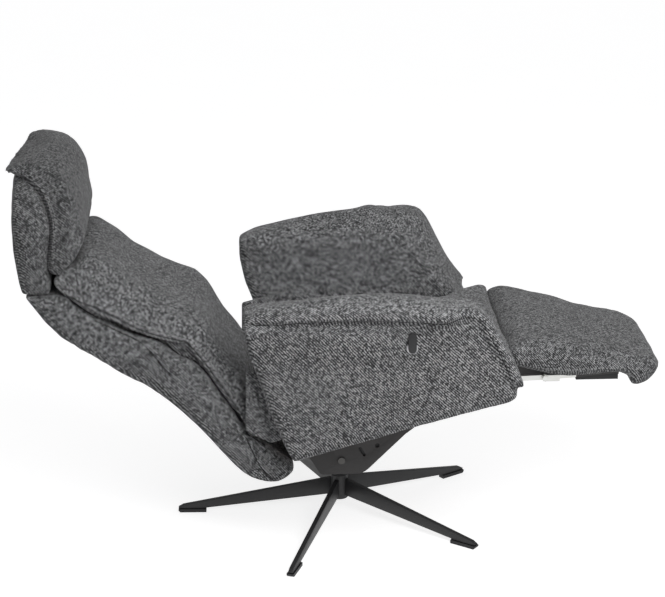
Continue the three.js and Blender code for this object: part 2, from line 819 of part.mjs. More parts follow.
function buildLegLinkage() {
  const steps = curveSteps * 2;
  const path = Array.from({ length: steps + 1 }, (_, i) => camPath(i / steps));
  const camOuter = camInner + camThick;
  const cam = outline([
    [-camRear, camFoot + linkHalf * 2, railBoss],
    [frontTubeAt, camFoot, railBoss],
    [camFront - armEye, camFoot, railBoss],
    [camFront, camShoulder, armEye],
    [noseUnder + cutOver, camShoulder, railClear],
    [noseUnder + cutOver - railBoss, railTop, railClear],
    [-camRear, railTop, railBoss / 2],
  ]);
  const hinge = new THREE.Vector2(legHingeAt, legHingeRise);
  const neckEnd = new THREE.Vector2(legHingeAt - camNeckFoot, legHingeRise - camNeckFoot);
  const neck = strip([hinge, middle([hinge, neckEnd]), neckEnd], camNeck);
  const camSolid = cut(
    join(
      sidePlate(cam, camInner, camOuter),
      sidePlate(neck, camInner, camOuter),
      crossRod(armEye, legHingeAt, legHingeRise, camInner, camOuter),
    ),
    sidePlate(strip(path, camSlotHalf), camInner - cutOver, camOuter + cutOver),
    crossRod(legAxle + fitGap, legHingeAt, legHingeRise, camInner - cutOver, camOuter + cutOver),
  );
  addPair(seat, "cam_plate", camSolid, darkSteel);
  const axleHead = rivetHead;
  const axle = join(
    crossRod(legAxle, legHingeAt, legHingeRise, -legAxleHalf, legAxleHalf),
    crossRod(legAxle + axleHead, legHingeAt, legHingeRise, camOuter + fitGap, legAxleHalf),
    crossRod(legAxle + axleHead, legHingeAt, legHingeRise, -legAxleHalf, -camOuter - fitGap),
  );
  add(seat, "leg_rest_axle", axle, zinc);

  const linkPath = [
    new THREE.Vector2(linkAt, -linkDrop),
    new THREE.Vector2(linkAt - linkBack, -linkDrop - linkLow),
  ];
  const linkOuter = linkInner + linkThick;
  const link = cut(
    join(
      sidePlate(strip([linkPath[0], middle(linkPath), linkPath[1]], linkHalf), linkInner, linkOuter),
      crossRod(linkPin, linkPath[1].x, linkPath[1].y, camInner + fitGap, linkInner + cutOver),
    ),
    crossRod(linkPin + pinGap, linkPath[0].x, linkPath[0].y, linkInner - cutOver, linkOuter + cutOver),
  );
  addPair(legRest, "push_link", link, zinc);
  const bracketOuter = bracketInner + bracketThick;

  const plateOuter = armPlateInner + armPlateThick;
  const plan = new THREE.Shape(
    [
      [linkAt - bracketHalf, bracketOuter],
      [linkAt - bracketHalf, bracketInner],
      [bracketJog - bracketThick, bracketInner],
      [bracketJog - bracketThick, plateOuter + fitGap],
      [bracketEnd, plateOuter + fitGap],
      [bracketEnd, plateOuter + fitGap + bracketThick],
      [bracketJog, plateOuter + fitGap + bracketThick],
      [bracketJog, bracketOuter],
    ].map(([x, y]) => new THREE.Vector2(x, y)),
  );
  const depth = bracketHalf * 2;
  const extruded = new THREE.ExtrudeGeometry(plan, { depth, bevelEnabled: false });
  const cranked = extruded.translate(0, 0, -linkDrop - bracketHalf);
  const taper = outline([
    [linkAt - bracketHalf, -linkDrop - bracketHalf, bracketHalf],
    [bracketJog, -linkDrop - bracketHalf],
    [bracketEnd, -linkDrop - bracketEndHalf, bracketHalf / 2],
    [bracketEnd, -linkDrop + bracketEndHalf, bracketHalf / 2],
    [bracketJog, -linkDrop + bracketHalf],
    [linkAt - bracketHalf, -linkDrop + bracketHalf, bracketHalf],
  ]);
  const bracket = join(
    common(cranked, sidePlate(taper, plateOuter, bracketOuter + cutOver)),
    crossRod(linkPin, linkAt, -linkDrop, linkInner - rivetHead, bracketOuter + rivetHead),
    crossRod(linkPin + rivetHead, linkAt, -linkDrop, linkInner - rivetHead, linkInner - fitGap),
    crossRod(linkPin + rivetHead, linkAt, -linkDrop, bracketOuter, bracketOuter + rivetHead),
  );
  const leaned = bracket.translate(-linkAt, 0, linkDrop).rotateY(-radians(legLean));
  const level = leaned.translate(linkAt, 0, -linkDrop);
  addPair(legRest, "leg_rest_bracket", level, zinc);
}

function middle([a, b]) {
  return a.clone().lerp(b, 1 / 2);
}

// The leg rest's underside: [place along it, height] shares of its length and thickness
const legUnderShares = [
  [0, -0.08],
  [0.19, -0.2],
  [0.3, -0.3],
  [0.437, -0.3],
  [0.8, 0.1],
  [0.84, -0.1],
  [0.92, 0.04],
  [1, 0.35],
];

function buildLegRest() {
  const boardLow = -boardDrop - boardThick;
  const plateLow = -boardDrop - armPlateHigh;
  const plate = outline([
    [-armEye, -armEye, armEye],
    [-armEye, armEye, armEye],
    [armEye, armEye, armEye],
    [armEyeNeck, -armEyeNeck, armEye],
    [boardStart, -boardDrop, armEye],
    [boardEnd, -boardDrop],
    [boardEnd, -boardDrop - armPlateToe, linkHalf],
    [boxStart, plateLow, armEye],
    [armPlateBend, plateLow, armEye],
  ]);
  const outer = armPlateInner + armPlateThick;
  const arm = cut(
    sidePlate(plate, armPlateInner, outer).rotateY(-radians(legLean)),
    crossRod(legAxle + pinGap, 0, 0, armPlateInner - cutOver, outer + cutOver),
  );
  addPair(legRest, "leg_rest_arm", arm, black);

  const boardHalf = armPlateInner - fitGap;
  const board = box(boardStart, boardEnd, -boardHalf, boardHalf, boardLow, -boardDrop);
  add(legRest, "leg_rest_board", board.rotateY(-radians(legLean)), plastic);
  const boxTop = boardLow - fitGap;
  const boxHalf = armPlateInner - boxInset;
  const stiffener = box(boxStart, boardEnd, -boxHalf, boxHalf, boxTop - boxThick, boxTop);
  add(legRest, "leg_rest_stiffener", stiffener.rotateY(-radians(legLean)), black);

  const place = ({ x, y, z }) => {
    const share = x / legLength + 0.5;
    const reach = legLength / 2 - x;
    const level = z / legThickness + 0.5;
    const half = THREE.MathUtils.lerp(legHalf, legHalfEnd, share);
    const across = y / legHalf;
    const crown = legCrown * valueAt(crownAcrossShares, share) * (1 - across * across);
    const draw = cornerDraw(reach, legCorner) + seatDraw * Math.pow(2 * level - 1, 2) / 2;
    const along = legStart + share * legLength;
    const [boardAlong, boardUp] = turned(boardEnd, -boardDrop, legLean);
    const onBoard = boardUp + fitGap + (along - boardAlong) * Math.tan(radians(legLean));
    const hanging = legThickness * valueAt(legUnderShares, share);
    const under = along < boardAlong + boardLap ? Math.max(onBoard, hanging) : hanging;
    const up = THREE.MathUtils.lerp(under, legThickness - legUnder + crown, level);
    return new THREE.Vector3(along, across * (half - draw), up);
  };
  const cushion = softBlock([legLength, 2 * legHalf, legThickness], legRound, [12, 6, 2], place);
  add(legRest, "leg_rest_cushion", cushion, fabric);
}

// Back: [height, place forward of the hinge] shares of the back's length and depth
const shellRearShares = [
  [1, -0.81],
  [0.78, -1.02],
  [0.5, -0.92],
  [0.33, -0.81],
  [0.15, -0.86],
  [-0.09, -1.06],
  [-0.2, -1.04],
  [-0.28, -0.82],
  [-0.3, -0.48],
];
const shellFrontShares = [
  [-0.28, -0.41],
  [-0.03, -0.38],
  [0.037, -0.27],
  [0.157, -0.1],
  [0.285, 0.05],
  [0.37, -0.017],
  [0.448, -0.017],
  [0.51, -0.075],
  [0.58, -0.19],
  [0.657, -0.267],
  [0.743, -0.35],
  [0.82, -0.375],
];
const pipingShares = [
  [-0.034, -0.37],
  [0.005, -0.24],
  [0.057, -0.15],
  [0.135, -0.02],
  [0.228, 0.14],
  [0.31, 0.25],
  [0.385, 0.31],
  [0.445, 0.18],
  [0.513, 0.04],
  [0.585, -0.06],
  [0.667, -0.11],
  [0.745, -0.18],
  [0.82, -0.27],
  [0.863, -0.3],
];
const backCrownShares = [
  [-0.034, 1.1],
  [0.04, 0.95],
  [0.12, 0.7],
  [0.22, 0.42],
  [0.31, 0.5],
  [0.385, 0.95],
  [0.46, 1.15],
  [0.6, 1.5],
  [0.69, 1.45],
  [0.77, 1.9],
  [0.82, 2.1],
  [0.863, 1.7],
];

function backCurve(shares, add) {
  return new THREE.SplineCurve(
    shares.map(([up, forward]) => new THREE.Vector2(forward * backDepth + add, up * backLength)),
  );
}

function buildBackShell() {
  const hull = sidePlate(shellProfile(), -shellHalf, shellHalf, shellRound);
  const inner = backCurve(shellRearShares.slice(0, -1), shellBack).getPoints(curveSteps * 3);
  const hollow = new THREE.Shape();
  const open = backDepth;
  const lining = inner.filter((point) => point.y < neckRise - 2 * shellRoof);
  hollow.setFromPoints([
    ...lining,
    new THREE.Vector2(open, lining.at(-1).y),
    neckDrop(neckInset * 2, shellRoof),
    neckDrop(shellRoof, shellRoof),
  ]);
  const room = sidePlate(hollow, -shellHalf + shellWall, shellHalf - shellWall);
  const groove = crossRod(neckGroove, -neckInset, neckRise, -neckHalf, neckHalf);
  const [slantX, slantZ] = turned(-neckInset, 0, -backLean);
  const fold = sidePlate(
    new THREE.Shape([
      new THREE.Vector2(-neckInset, neckRise),
      new THREE.Vector2(-neckInset + slantX / 2, neckRise + slantZ / 2),
      new THREE.Vector2(-neckInset + turned(-neckInset, 0, -backLean + neckFold + railClear)[0] / 2,
        neckRise + turned(-neckInset, 0, -backLean + neckFold + railClear)[1] / 2),
    ]),
    -shellHalf - cutOver,
    shellHalf + cutOver,
  );
  const lugRoom = (side) => {
    const at = side * (neckStrapAt + neckStrapThick);
    const deep = frameHigh - frameTube;
    const front = -frameInset + lugRadius;
    return box(-neckInset - neckEye, front, at - lugRadius, at + lugRadius, deep, neckRise + neckEye);
  };
  add(back, "back_shell", cut(hull, room, groove, fold, lugRoom(1), lugRoom(-1)), fabric);
}

// The place on the level line through the headrest hinge, this far in front of it and below it
function neckDrop(forward, below) {
  const [x, z] = turned(forward, 0, -backLean);
  return new THREE.Vector2(-neckInset + x, neckRise + z - below);
}

function shellProfile() {
  const rear = backCurve(shellRearShares, 0).getPoints(curveSteps * 3);
  const front = backCurve(shellFrontShares, 0).getPoints(curveSteps * 3);
  return new THREE.Shape([...rear, ...front, neckDrop(neckInset, fitGap)]);
}

function buildBackFrame() {
  const upright = (side) => {
    const tube = new THREE.CylinderGeometry(frameTube, frameTube, frameHigh - frameLow, rodFaces);
    return tube.rotateX(quarter).translate(-frameInset, side * frameHalf, (frameHigh + frameLow) / 2);
  };
  const brace = (up, half) => crossRod(frameTube, -frameInset, up, -half, half);
  const wallReach = shellHalf - shellWall - fitGap;
  const lug = outline([
    [-frameInset, -frameTube, frameTube / 2],
    [-lugRadius, -lugRadius, lugRadius],
    [lugRadius, -lugRadius, lugRadius],
    [lugRadius, lugRadius, lugRadius],
    [-lugRadius, lugRadius, lugRadius / 2],
    [-frameInset, frameLow + lugRadius * 2, frameTube / 2],
  ]);
  const lugFrom = hingeInner + lugThick + 2 * fitGap;
  const lugTo = lugFrom + lugThick;
  const [crankForwardLocal, crankUpLocal] = turned(crankForward, -crankDrop, -backLean);
  const crankPath = [
    new THREE.Vector2(-frameInset, frameLow),
    middle([new THREE.Vector2(-frameInset, frameLow), new THREE.Vector2(crankForwardLocal, crankUpLocal)]),
    new THREE.Vector2(crankForwardLocal, crankUpLocal),
  ];
  const cheek = (from) => sidePlate(strip(crankPath, crankRadius), from, from + crankThick);
  const neckPath = [
    new THREE.Vector2(-frameInset, frameHigh),
    middle([new THREE.Vector2(-frameInset, frameHigh), new THREE.Vector2(-neckInset, neckRise)]),
    new THREE.Vector2(-neckInset, neckRise),
  ];
  const neckFrom = neckStrapAt + neckStrapThick + fitGap;
  const neckLug = (from) => sidePlate(strip(neckPath, neckEye), from, from + neckStrapThick);
  const crankOuter = crankInner + crankThick;
  const frame = cut(
    join(
      upright(1),
      upright(-1),
      brace(frameLow, frameHalf),
      brace(frameHigh, frameHalf),
      brace(braceLow, wallReach),
      brace(braceHigh, wallReach),
      sidePlate(lug, lugFrom, lugTo),
      sidePlate(lug, -lugTo, -lugFrom),
      cheek(crankInner),
      cheek(-crankOuter),
      crossRod(crankPin, crankForwardLocal, crankUpLocal, -crankOuter - rivetHead, crankOuter + rivetHead),
      neckLug(neckFrom),
      neckLug(-neckFrom - neckStrapThick),
    ),
    crossRod(hingePin + pinGap, 0, 0, lugFrom - cutOver, lugTo + cutOver),
    crossRod(hingePin + pinGap, 0, 0, -lugTo - cutOver, -lugFrom + cutOver),
    crossRod(neckRod + fitGap, -neckInset, neckRise, neckFrom - cutOver, neckFrom + neckStrapThick + cutOver),
    crossRod(neckRod + fitGap, -neckInset, neckRise, -neckFrom - neckStrapThick - cutOver, -neckFrom + cutOver),
  );
  add(back, "back_frame", frame, black);
  const hingeHalf = neckHalf - fitGap;
  add(back, "headrest_hinge_rod", crossRod(neckRod, -neckInset, neckRise, -hingeHalf, hingeHalf), zinc);
}

function buildBackCushion() {
  const length = cushionHigh + cushionLow;
  const place = ({ x, y, z }) => {
    const up = z + (cushionHigh - cushionLow) / 2;
    const share = up / backLength;
    const level = x / backDepth + 0.5;
    const across = y / cushionHalf;
    const rear = valueAt(shellFrontShares, share) * backDepth - cushionRound;
    const edge = Math.max(valueAt(pipingShares, share) * backDepth, rear + cushionRound * 2);
    const crown = cushionCrown * valueAt(backCrownShares, share) * (1 - Math.pow(across, cushionFullness));
    const forward = rear + level * (edge - rear + crown);
    return new THREE.Vector3(forward, y, up);
  };
  const block = softBlock([backDepth, 2 * cushionHalf, length], cushionRound * 2, [1, 8, 12], place);
  const notch = (from, to) => box(-backDepth, notchReach, from, to, -cushionLow - lugRadius, notchReach + railClear);
  const overHalf = cushionHalf + cutOver;
  const clearSeat = box(-backDepth, backDepth, -overHalf, overHalf, -backDepth, -cushionLow);
  const crankHalf = crankInner + crankThick + 2 * rivetHead;
  const notches = [notch(notchInner, notchOuter), notch(-notchOuter, -notchInner), notch(-crankHalf, crankHalf)];
  const cushion = clearOf(cut(block, ...notches, clearSeat), shellProfile(), -overHalf, overHalf);
  add(back, "back_cushion", cushion, fabric);
}

// Headrest: outlines as shares of the shell's depth and height
const headRearShares = [
  [-0.14, 0],
  [-0.33, 0.31],
  [-0.37, 0.57],
  [-0.35, 0.86],
  [-0.32, 0.99],
];
const headSeamShares = [
  [0.12, 0.955],
  [0.63, 0.82],
  [0.87, 0.6],
  [0.77, 0.41],
  [0.75, 0.25],
  [0.78, 0.1],
  [0.88, 0],
];
const padInnerShares = [
  [0.78, 0.13],
  [0.77, 0.26],
  [0.79, 0.41],
  [0.89, 0.6],
  [0.66, 0.83],
  [0.13, 0.975],
  [-0.34, 0.995],
  [-0.47, 0.985],
];
const padOuterShares = [
  [1.48, 0.09],
  [1.93, 0.22],
  [1.98, 0.44],
  [1.92, 0.64],
  [1.68, 0.85],
  [1.18, 0.99],
  [0.5, 1.045],
  [-0.52, 1.035],
];

const padTopFromShare = 0.5;
const padTopToShare = 0.8;

function buildHeadrest() {
  const rear = curveThrough(headRearShares, headDepth, headHigh).getPoints(curveSteps * 2);
  const seam = curveThrough(headSeamShares, headDepth, headHigh).getPoints(curveSteps * 2);
  const side = new THREE.Shape([...rear, ...seam].map((point) => point.setY(point.y + fitGap)));
  const front = new THREE.Shape();
  front.moveTo(-headHalf, -cutOver);
  front.lineTo(headHalf, -cutOver);
  front.lineTo(headHalf, headHigh - headCorner);
  front.absarc(headHalf - headCorner, headHigh - headCorner, headCorner, 0, quarter);
  front.absarc(headCorner - headHalf, headHigh - headCorner, headCorner, quarter, Math.PI);
  front.closePath();
  const frontView = new THREE.ExtrudeGeometry(front, {
    depth: headDepth * 2,
    bevelEnabled: false,
    curveSegments: curveSteps,
  });
  frontView.rotateX(quarter).rotateZ(quarter).translate(-headDepth, 0, 0);
  const hull = common(sidePlate(side, -headHalf, headHalf, headRound), frontView);
  const groove = crossRod(neckGroove, 0, 0, -neckHalf, neckHalf);
  const strapFrom = neckStrapWide / 2;
  const strapTo = strapFrom + neckStrapWide;
  const strapRoom = (sign) => {
    const at = sign * neckStrapAt;
    const half = neckStrapThick / 2 + fitGap;
    return box(strapFrom - fitGap, strapTo + fitGap, at - half, at + half, -cutOver, neckStrapHigh + fitGap);
  };
  const lugRoom = (sign) => {
    const at = sign * (neckStrapAt + neckStrapThick);
    return box(-neckEye - fitGap, neckStrapWide * 2, at - lugRadius, at + lugRadius, -cutOver, lugRadius + neckEye);
  };
  const bridgeRoom = box(strapFrom - fitGap, strapTo + fitGap, -neckStrapAt, neckStrapAt,
    neckStrapHigh - neckStrapWide - fitGap, neckStrapHigh + fitGap);
  const slots = [strapRoom(1), strapRoom(-1), lugRoom(1), lugRoom(-1), bridgeRoom];
  add(head, "head_shell", cut(hull, groove, ...slots), fabric);

  const strapPath = [new THREE.Vector2(0, 0), new THREE.Vector2(neckStrapWide / 2, neckEye),
    new THREE.Vector2(neckStrapWide, neckStrapWide)];
  const from = neckStrapAt - neckStrapThick / 2;
  const to = neckStrapAt + neckStrapThick / 2;
  const strap = (sign) => {
    const [low, high] = sign > 0 ? [from, to] : [-to, -from];
    return join(
      sidePlate(strip(strapPath, neckEye), low, high),
      box(strapFrom, strapTo, low, high, neckEye, neckStrapHigh),
    );
  };
  const bracket = cut(
    join(strap(1), strap(-1), box(strapFrom, strapTo, -to, to, neckStrapHigh - neckStrapWide, neckStrapHigh)),
    crossRod(neckRod + pinGap, 0, 0, -to - cutOver, to + cutOver),
  );
  add(head, "head_bracket", bracket, black);

  const inner = curveThrough(padInnerShares, headDepth, headHigh);
  const outer = curveThrough(padOuterShares, headDepth, headHigh);
  const place = ({ x, y, z }) => {
    const share = THREE.MathUtils.clamp(z / padHigh + 0.5, 0, 1);
    const level = x / padDepth + 0.5;
    const across = y / padHalf;
    const low = inner.getPoint(share);
    const high = outer.getPoint(share);
    const spot = low.lerp(high, level);
    const arch = level * (1 - across * across);
    const overTop = THREE.MathUtils.smoothstep(share, padTopFromShare, padTopToShare);
    const draw = cornerDraw(headHigh + padRise - spot.y, headCorner);
    const forward = padCrown * arch * (1 - overTop / 2);
    return new THREE.Vector3(spot.x + forward, across * (padHalf - draw), spot.y + padRise * arch * overTop);
  };
  const pad = softBlock([padDepth, 2 * padHalf, padHigh], padRound, [2, 6, 9], place);
  add(head, "head_pad", clearOf(pad, side, -padHalf - cutOver, padHalf + cutOver), fabric);
}

function buildGasSpring() {
  const eyeInner = crankPin + eyeSlack;
  const eyeOuter = eyeInner + eyeWall;
  const ring = (outerRadius, innerRadius, x) =>
    cut(
      crossRod(outerRadius, x, crankZ, -eyeHalf, eyeHalf),
      crossRod(innerRadius, x, crankZ, -eyeHalf - cutOver, eyeHalf + cutOver),
    );
  const rodFrom = crankX + eyeInner + eyeWall / 2;
  const bodyTo = anchorX - anchorRadius - eyeWall / 2;
  const bodyFrom = bodyTo - gasBody;
  const rod = join(ring(eyeOuter, eyeInner, crankX), lengthRod(gasRod, crankZ, rodFrom, bodyFrom + gasRodInside));
  add(chair, "gas_spring_rod", rod, chrome);
  const tail = ring(anchorRadius + pinGap + eyeWall, anchorRadius + pinGap, anchorX);
  const body = cut(
    join(lengthRod(gasRadius, crankZ, bodyFrom, bodyTo - eyeWall), lengthRod(gasRod, crankZ, bodyTo - gasRadius, bodyTo),
      tail),
    lengthRod(gasRod + pinGap, crankZ, bodyFrom - cutOver, bodyFrom + gasBore),
  );
  add(chair, "gas_spring_cylinder", body, black);
}

// Arms: outlines as shares of the arm's length and height, from its low rear corner
const panelShares = [
  [0.007, 0.654, 12],
  [0.083, 0.294, 12],
  [0.149, 0.026, 12],
  [0.167, 0, 12],
  [0.97, 0.424, 12],
  [1, 0.467, 12],
];
const padLineShares = [
  [0, 0.856],
  [0.17, 0.874],
  [0.34, 0.892],
  [0.51, 0.91],
  [0.685, 0.928],
  [0.745, 0.977],
  [0.793, 1],
  [0.826, 0.98],
  [0.87, 0.856],
  [0.916, 0.712],
  [0.946, 0.591],
  [0.982, 0.539],
];
const padCrestShares = [
  [0, 0.966],
  [0.17, 0.981],
  [0.34, 0.999],
  [0.51, 1.018],
  [0.685, 1.037],
  [0.755, 1.05],
  [0.815, 1.052],
  [0.864, 1.01],
  [0.91, 0.875],
  [0.956, 0.732],
  [0.985, 0.622],
  [1.005, 0.53],
];

function armOuter(x) {
  return armRearOuter + (armFrontOuter - armRearOuter) * Math.min(Math.max(x / armWideAt, 0), 1);
}

function buildArms() {
  const line = curveThrough(padLineShares, armLength, armHigh);
  const seam = line.getPoints(curveSteps * 4).map((point) => [point.x, point.y]);
  const shape = outline([...shared(panelShares, armLength, armHigh), ...seam.reverse()]);
  const flat = armFrontOuter - armOverhang;
  const panel = sidePlate(shape, armInner, flat, armBevel);
  const position = panel.attributes.position;
  for (let i = 0; i < position.count; i += 1) {
    const share = (position.getY(i) - armInner) / (flat - armInner);
    const wide = armOuter(position.getX(i)) - armOverhang - armInner;
    position.setY(i, armInner + share * wide);
  }
  const boltUp = railTop + fitGap + barThick + boltRise;
  const boltHoles = [frontBarAt, -rearBarAt].map((at) => {
    const [x, z] = seatPoint(at, boltUp);
    return crossRod(boltRadius + fitGap, x - arms.position.x, z - arms.position.z, armInner - cutOver,
      armInner + boltGrip + fitGap);
  });
  const bored = cut(panel, ...boltHoles);
  add(arms, "arm_panel_left", bored, fabric);
  const outerAtLever = armOuter(leverX) - armOverhang;
  const shaftRoom = crossRod(leverShaft + pinGap, leverX, leverRise, outerAtLever - leverGrip - fitGap,
    outerAtLever + cutOver);
  add(arms, "arm_panel_right", cut(bored, shaftRoom), fabric, true);

  const crest = curveThrough(padCrestShares, armLength, armHigh);
  const place = ({ x, y, z }) => {
    const share = THREE.MathUtils.clamp(x / armLength + 0.5, 0, 1);
    const level = z / armPadThick + 0.5;
    const low = line.getPoint(share);
    const out = crest.getPoint(share).sub(low);
    const across = (2 * y) / (armFrontOuter - armPadInner);
    const rise = level - ((1 - level) * armBevel) / out.length();
    const crown = (armPadCrown * level * (1 - across * across)) / out.length();
    const spot = low.addScaledVector(out, rise + crown);
    const wide = armOuter(spot.x) - armPadInner;
    return new THREE.Vector3(spot.x, armPadInner + ((across + 1) / 2) * wide, spot.y);
  };
  const size = [armLength, armFrontOuter - armPadInner, armPadThick];
  const pad = softBlock(size, armPadRound, [18, 3, 1], place, 1);
  addPair(arms, "arm_pad", clearOf(pad, shape, armPadInner - cutOver, armFrontOuter + cutOver), fabric);
}

function buildLever() {
  const face = armOuter(leverX) - armOverhang;
  const rosetteFrom = face + fitGap * 2;
  const rosetteTo = rosetteFrom + rosetteThick;
  const rosette = cut(
    crossRod(rosetteRadius, leverX, leverRise, -rosetteTo, -rosetteFrom),
    crossRod(leverShaft + pinGap, leverX, leverRise, -rosetteTo - cutOver, -rosetteFrom + cutOver),
  );
  add(arms, "lever_rosette", rosette, chrome);
  const paddleFrom = rosetteTo + fitGap * 2;
  const paddleRun = paddleLong - paddleWide;
  const paddlePath = [0, 1, 2].map((step) => new THREE.Vector2(leverX, leverRise + (step * paddleRun) / 2));
  const paddle = sidePlate(strip(paddlePath, paddleWide / 2), -paddleFrom - paddleThick, -paddleFrom);
  const shaft = crossRod(leverShaft, leverX, leverRise, -paddleFrom - paddleThick / 2, -face + leverGrip);
  add(arms, "release_lever", join(paddle, shaft), plastic);
}

buildStarBase();
buildCarrier();
buildSeatFrame();
buildSeatCushion();
buildLegLinkage();
buildLegRest();
buildBackShell();
buildBackFrame();
buildBackCushion();
buildHeadrest();
buildGasSpring();
buildArms();
buildLever();

export default chair;
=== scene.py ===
import json
import math

import bmesh
import bpy
from bpy.props import FloatProperty, FloatVectorProperty, PointerProperty
from mathutils import Matrix, Vector, noise
from mathutils.bvhtree import BVHTree


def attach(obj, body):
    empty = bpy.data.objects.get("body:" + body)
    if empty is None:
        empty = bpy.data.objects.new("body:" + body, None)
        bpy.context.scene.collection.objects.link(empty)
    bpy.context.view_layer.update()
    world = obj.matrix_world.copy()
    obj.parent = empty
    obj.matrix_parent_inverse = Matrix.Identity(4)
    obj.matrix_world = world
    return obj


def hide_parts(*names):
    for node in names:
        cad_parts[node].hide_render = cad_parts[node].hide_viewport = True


bl_info = {
    "name": "Star base swivel recliner",
    "version": (1, 0, 0),
    "blender": (4, 5, 0),
    "location": "View3D > Sidebar > Recliner",
    "description": "Upholsters and finishes a reclining chair on a star base",
    "category": "Add Mesh",
}

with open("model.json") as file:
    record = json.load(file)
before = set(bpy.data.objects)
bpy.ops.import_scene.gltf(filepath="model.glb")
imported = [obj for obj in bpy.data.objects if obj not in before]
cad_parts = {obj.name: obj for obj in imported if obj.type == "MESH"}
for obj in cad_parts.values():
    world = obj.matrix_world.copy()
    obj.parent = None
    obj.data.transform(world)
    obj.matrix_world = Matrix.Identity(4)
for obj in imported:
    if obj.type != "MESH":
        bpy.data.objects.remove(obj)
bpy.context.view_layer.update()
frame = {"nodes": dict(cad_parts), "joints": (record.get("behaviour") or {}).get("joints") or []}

# The photograph's frame and the lens and place of the camera that took it
PHOTO_WIDTH = 665
FOCAL_PIXELS = 2200
SENSOR_WIDTH = 36
CAMERA_PLACE = Vector((-0.2797, -4.5839, 2.0622))
CAMERA_TURN = -3.3
CAMERA_DROP = 18.7
CAMERA_REACH = 100

# The soft light all round: its colour from the horizon up
SKY_STOPS = [(0.0, (0.55, 0.55, 0.56)), (0.9, (1, 1, 1))]
WHITE = (1, 1, 1, 1)

# How the solids are turned into cloth, and how it is simulated
MERGE_WITHIN = 0.00002
FINE_MESH = 0.005
SIM_FRAMES = 17
SIM_QUALITY = 5
CLOTH_MASS = 0.3
SHEAR_PART = 3

# The angles, in degrees, up to which faces are one plane, and from which an edge is crisp
FLAT_WITHIN = 1.5
CRISP_METAL = 32
CRISP_OTHER = 40

# The leans of the chair's groups, from +X towards +Z, in degrees
BACK_ALONG = 141
BACK_OUT = 51
LEG_ALONG = -10
LEG_OUT = 80


def joint_place(name):
    """Where a joint of the frame has its axis, in metres."""
    joint = next(j for j in frame["joints"] if j["name"] == name)
    return Vector(joint["pos_m"])


def leaning(degrees):
    """The direction that leans this far from +X towards +Z."""
    return Vector((math.cos(math.radians(degrees)), 0, math.sin(math.radians(degrees))))


def heading(turn, height):
    """The direction turned this far from the chair's near side and this high, in degrees."""
    turn, height = math.radians(turn), math.radians(height)
    return Vector(
        (math.sin(turn) * math.cos(height), -math.cos(turn) * math.cos(height), math.sin(height))
    )


class Plane:
    """A side view's axes: along a cushion and out of it, from a joint."""

    def __init__(self, joint, along, out):
        self.origin = joint_place(joint)
        self.along = leaning(along)
        self.out = leaning(out)

    def at(self, along, out, across):
        """The point at these distances, in the chair's frame."""
        point = self.origin + self.along * along + self.out * out
        return Vector((point.x, across, point.z))

    def split(self, place):
        """How far a place lies along the cushion and out of it."""
        from_joint = place - self.origin
        return from_joint.dot(self.along), from_joint.dot(self.out)

    def move(self, along, out):
        """A move by these distances, in the chair's frame."""
        moved = self.out * out + self.along * along
        return (moved.x, 0, moved.z)


BACK = Plane("recline", BACK_ALONG, BACK_OUT)
LEG = Plane("leg_rest_lift", LEG_ALONG, LEG_OUT)


# The upholstered sides of the seat: between these distances from the middle, with this side view
SEAT_SIDE = (0.2205, 0.2325)
SEAT_SIDE_OUTLINE = [
    (-0.212, 0.425), (-0.214, 0.290), (-0.160, 0.262), (-0.03, 0.300), (0.02, 0.430),
    (-0.10, 0.455),
]
SEAT_SIDE_ROUND = 0.4

# Seams, in the side view of their cushion or, for the arms and the head, of the chair
BACK_EDGE = [
    (0.505, -0.052), (0.465, -0.040), (0.402, -0.022), (0.360, -0.013), (0.316, -0.007),
    (0.277, 0.005), (0.240, 0.021), (0.208, 0.037), (0.168, 0.030), (0.123, 0.017),
    (0.073, -0.003), (0.031, -0.018), (0.003, -0.029),
]
BACK_EDGE_HALF = 0.212
SHELL_SEAM = [
    (0.389, -0.039), (0.346, -0.032), (0.303, -0.025), (0.260, -0.029), (0.224, -0.038),
    (0.188, -0.046),
]
SHELL_CREASE = [(-0.028, -0.061), (-0.073, -0.086), (-0.110, -0.101), (-0.140, -0.106)]
SHELL_FOLD = [(-0.021, -0.045), (-0.043, -0.042), (-0.075, -0.031)]
SHELL_SIDE = 0.207
ARM_SEAM = [
    (-0.200, 0.556), (-0.149, 0.558), (0.000, 0.565), (0.153, 0.571), (0.191, 0.572),
    (0.210, 0.577), (0.229, 0.583), (0.250, 0.583), (0.267, 0.573), (0.283, 0.551),
    (0.299, 0.518), (0.319, 0.473), (0.337, 0.432),
]
ARM_REAR = (-0.205, 0.300)
ARM_FRONT = (0.205, 0.372)
HEAD_EDGE = [
    (-0.661, 0.836), (-0.644, 0.820), (-0.630, 0.802), (-0.621, 0.781), (-0.616, 0.752),
    (-0.616, 0.731), (-0.620, 0.700), (-0.623, 0.660),
]
HEAD_SIDE = 0.206
LEG_HEM = [
    (0.424, 0.3985), (0.459, 0.3955), (0.502, 0.3925), (0.560, 0.3915), (0.613, 0.3915),
    (0.650, 0.392),
]
LEG_SIDE = 0.205

# The rows of stitches, as distances from their seam, and their shape beside the thread
BACK_ROWS = (0.006, 0.012)
HEAD_ROWS = (0.008, 0.014)
HEAD_ROW_LEAN = 3
LEG_ROWS = (0, 0.006)
STITCH_RISE = 0.25
STITCH_SHARE = 0.62

# The radius of a seam's dark cord of painted shade, in thread thicknesses, and how many seam
# widths the cover is drawn in over
SEAM_SHADE_ROUND = 0.8
SEAM_REACH = 3

# The strip behind the slot and the sight hole of a bracket side: its middle, size, lean and inset
LINING_PLACE = (0.061, 0.181)
LINING_SIZE = (0.062, 0.002, 0.034)
LINING_LEAN = 14
LINING_INSET = 0.0745

# How the covers are shaped further than the solids. A pair is where a change starts and where it
# is full, along the axis or in the direction that its name gives.

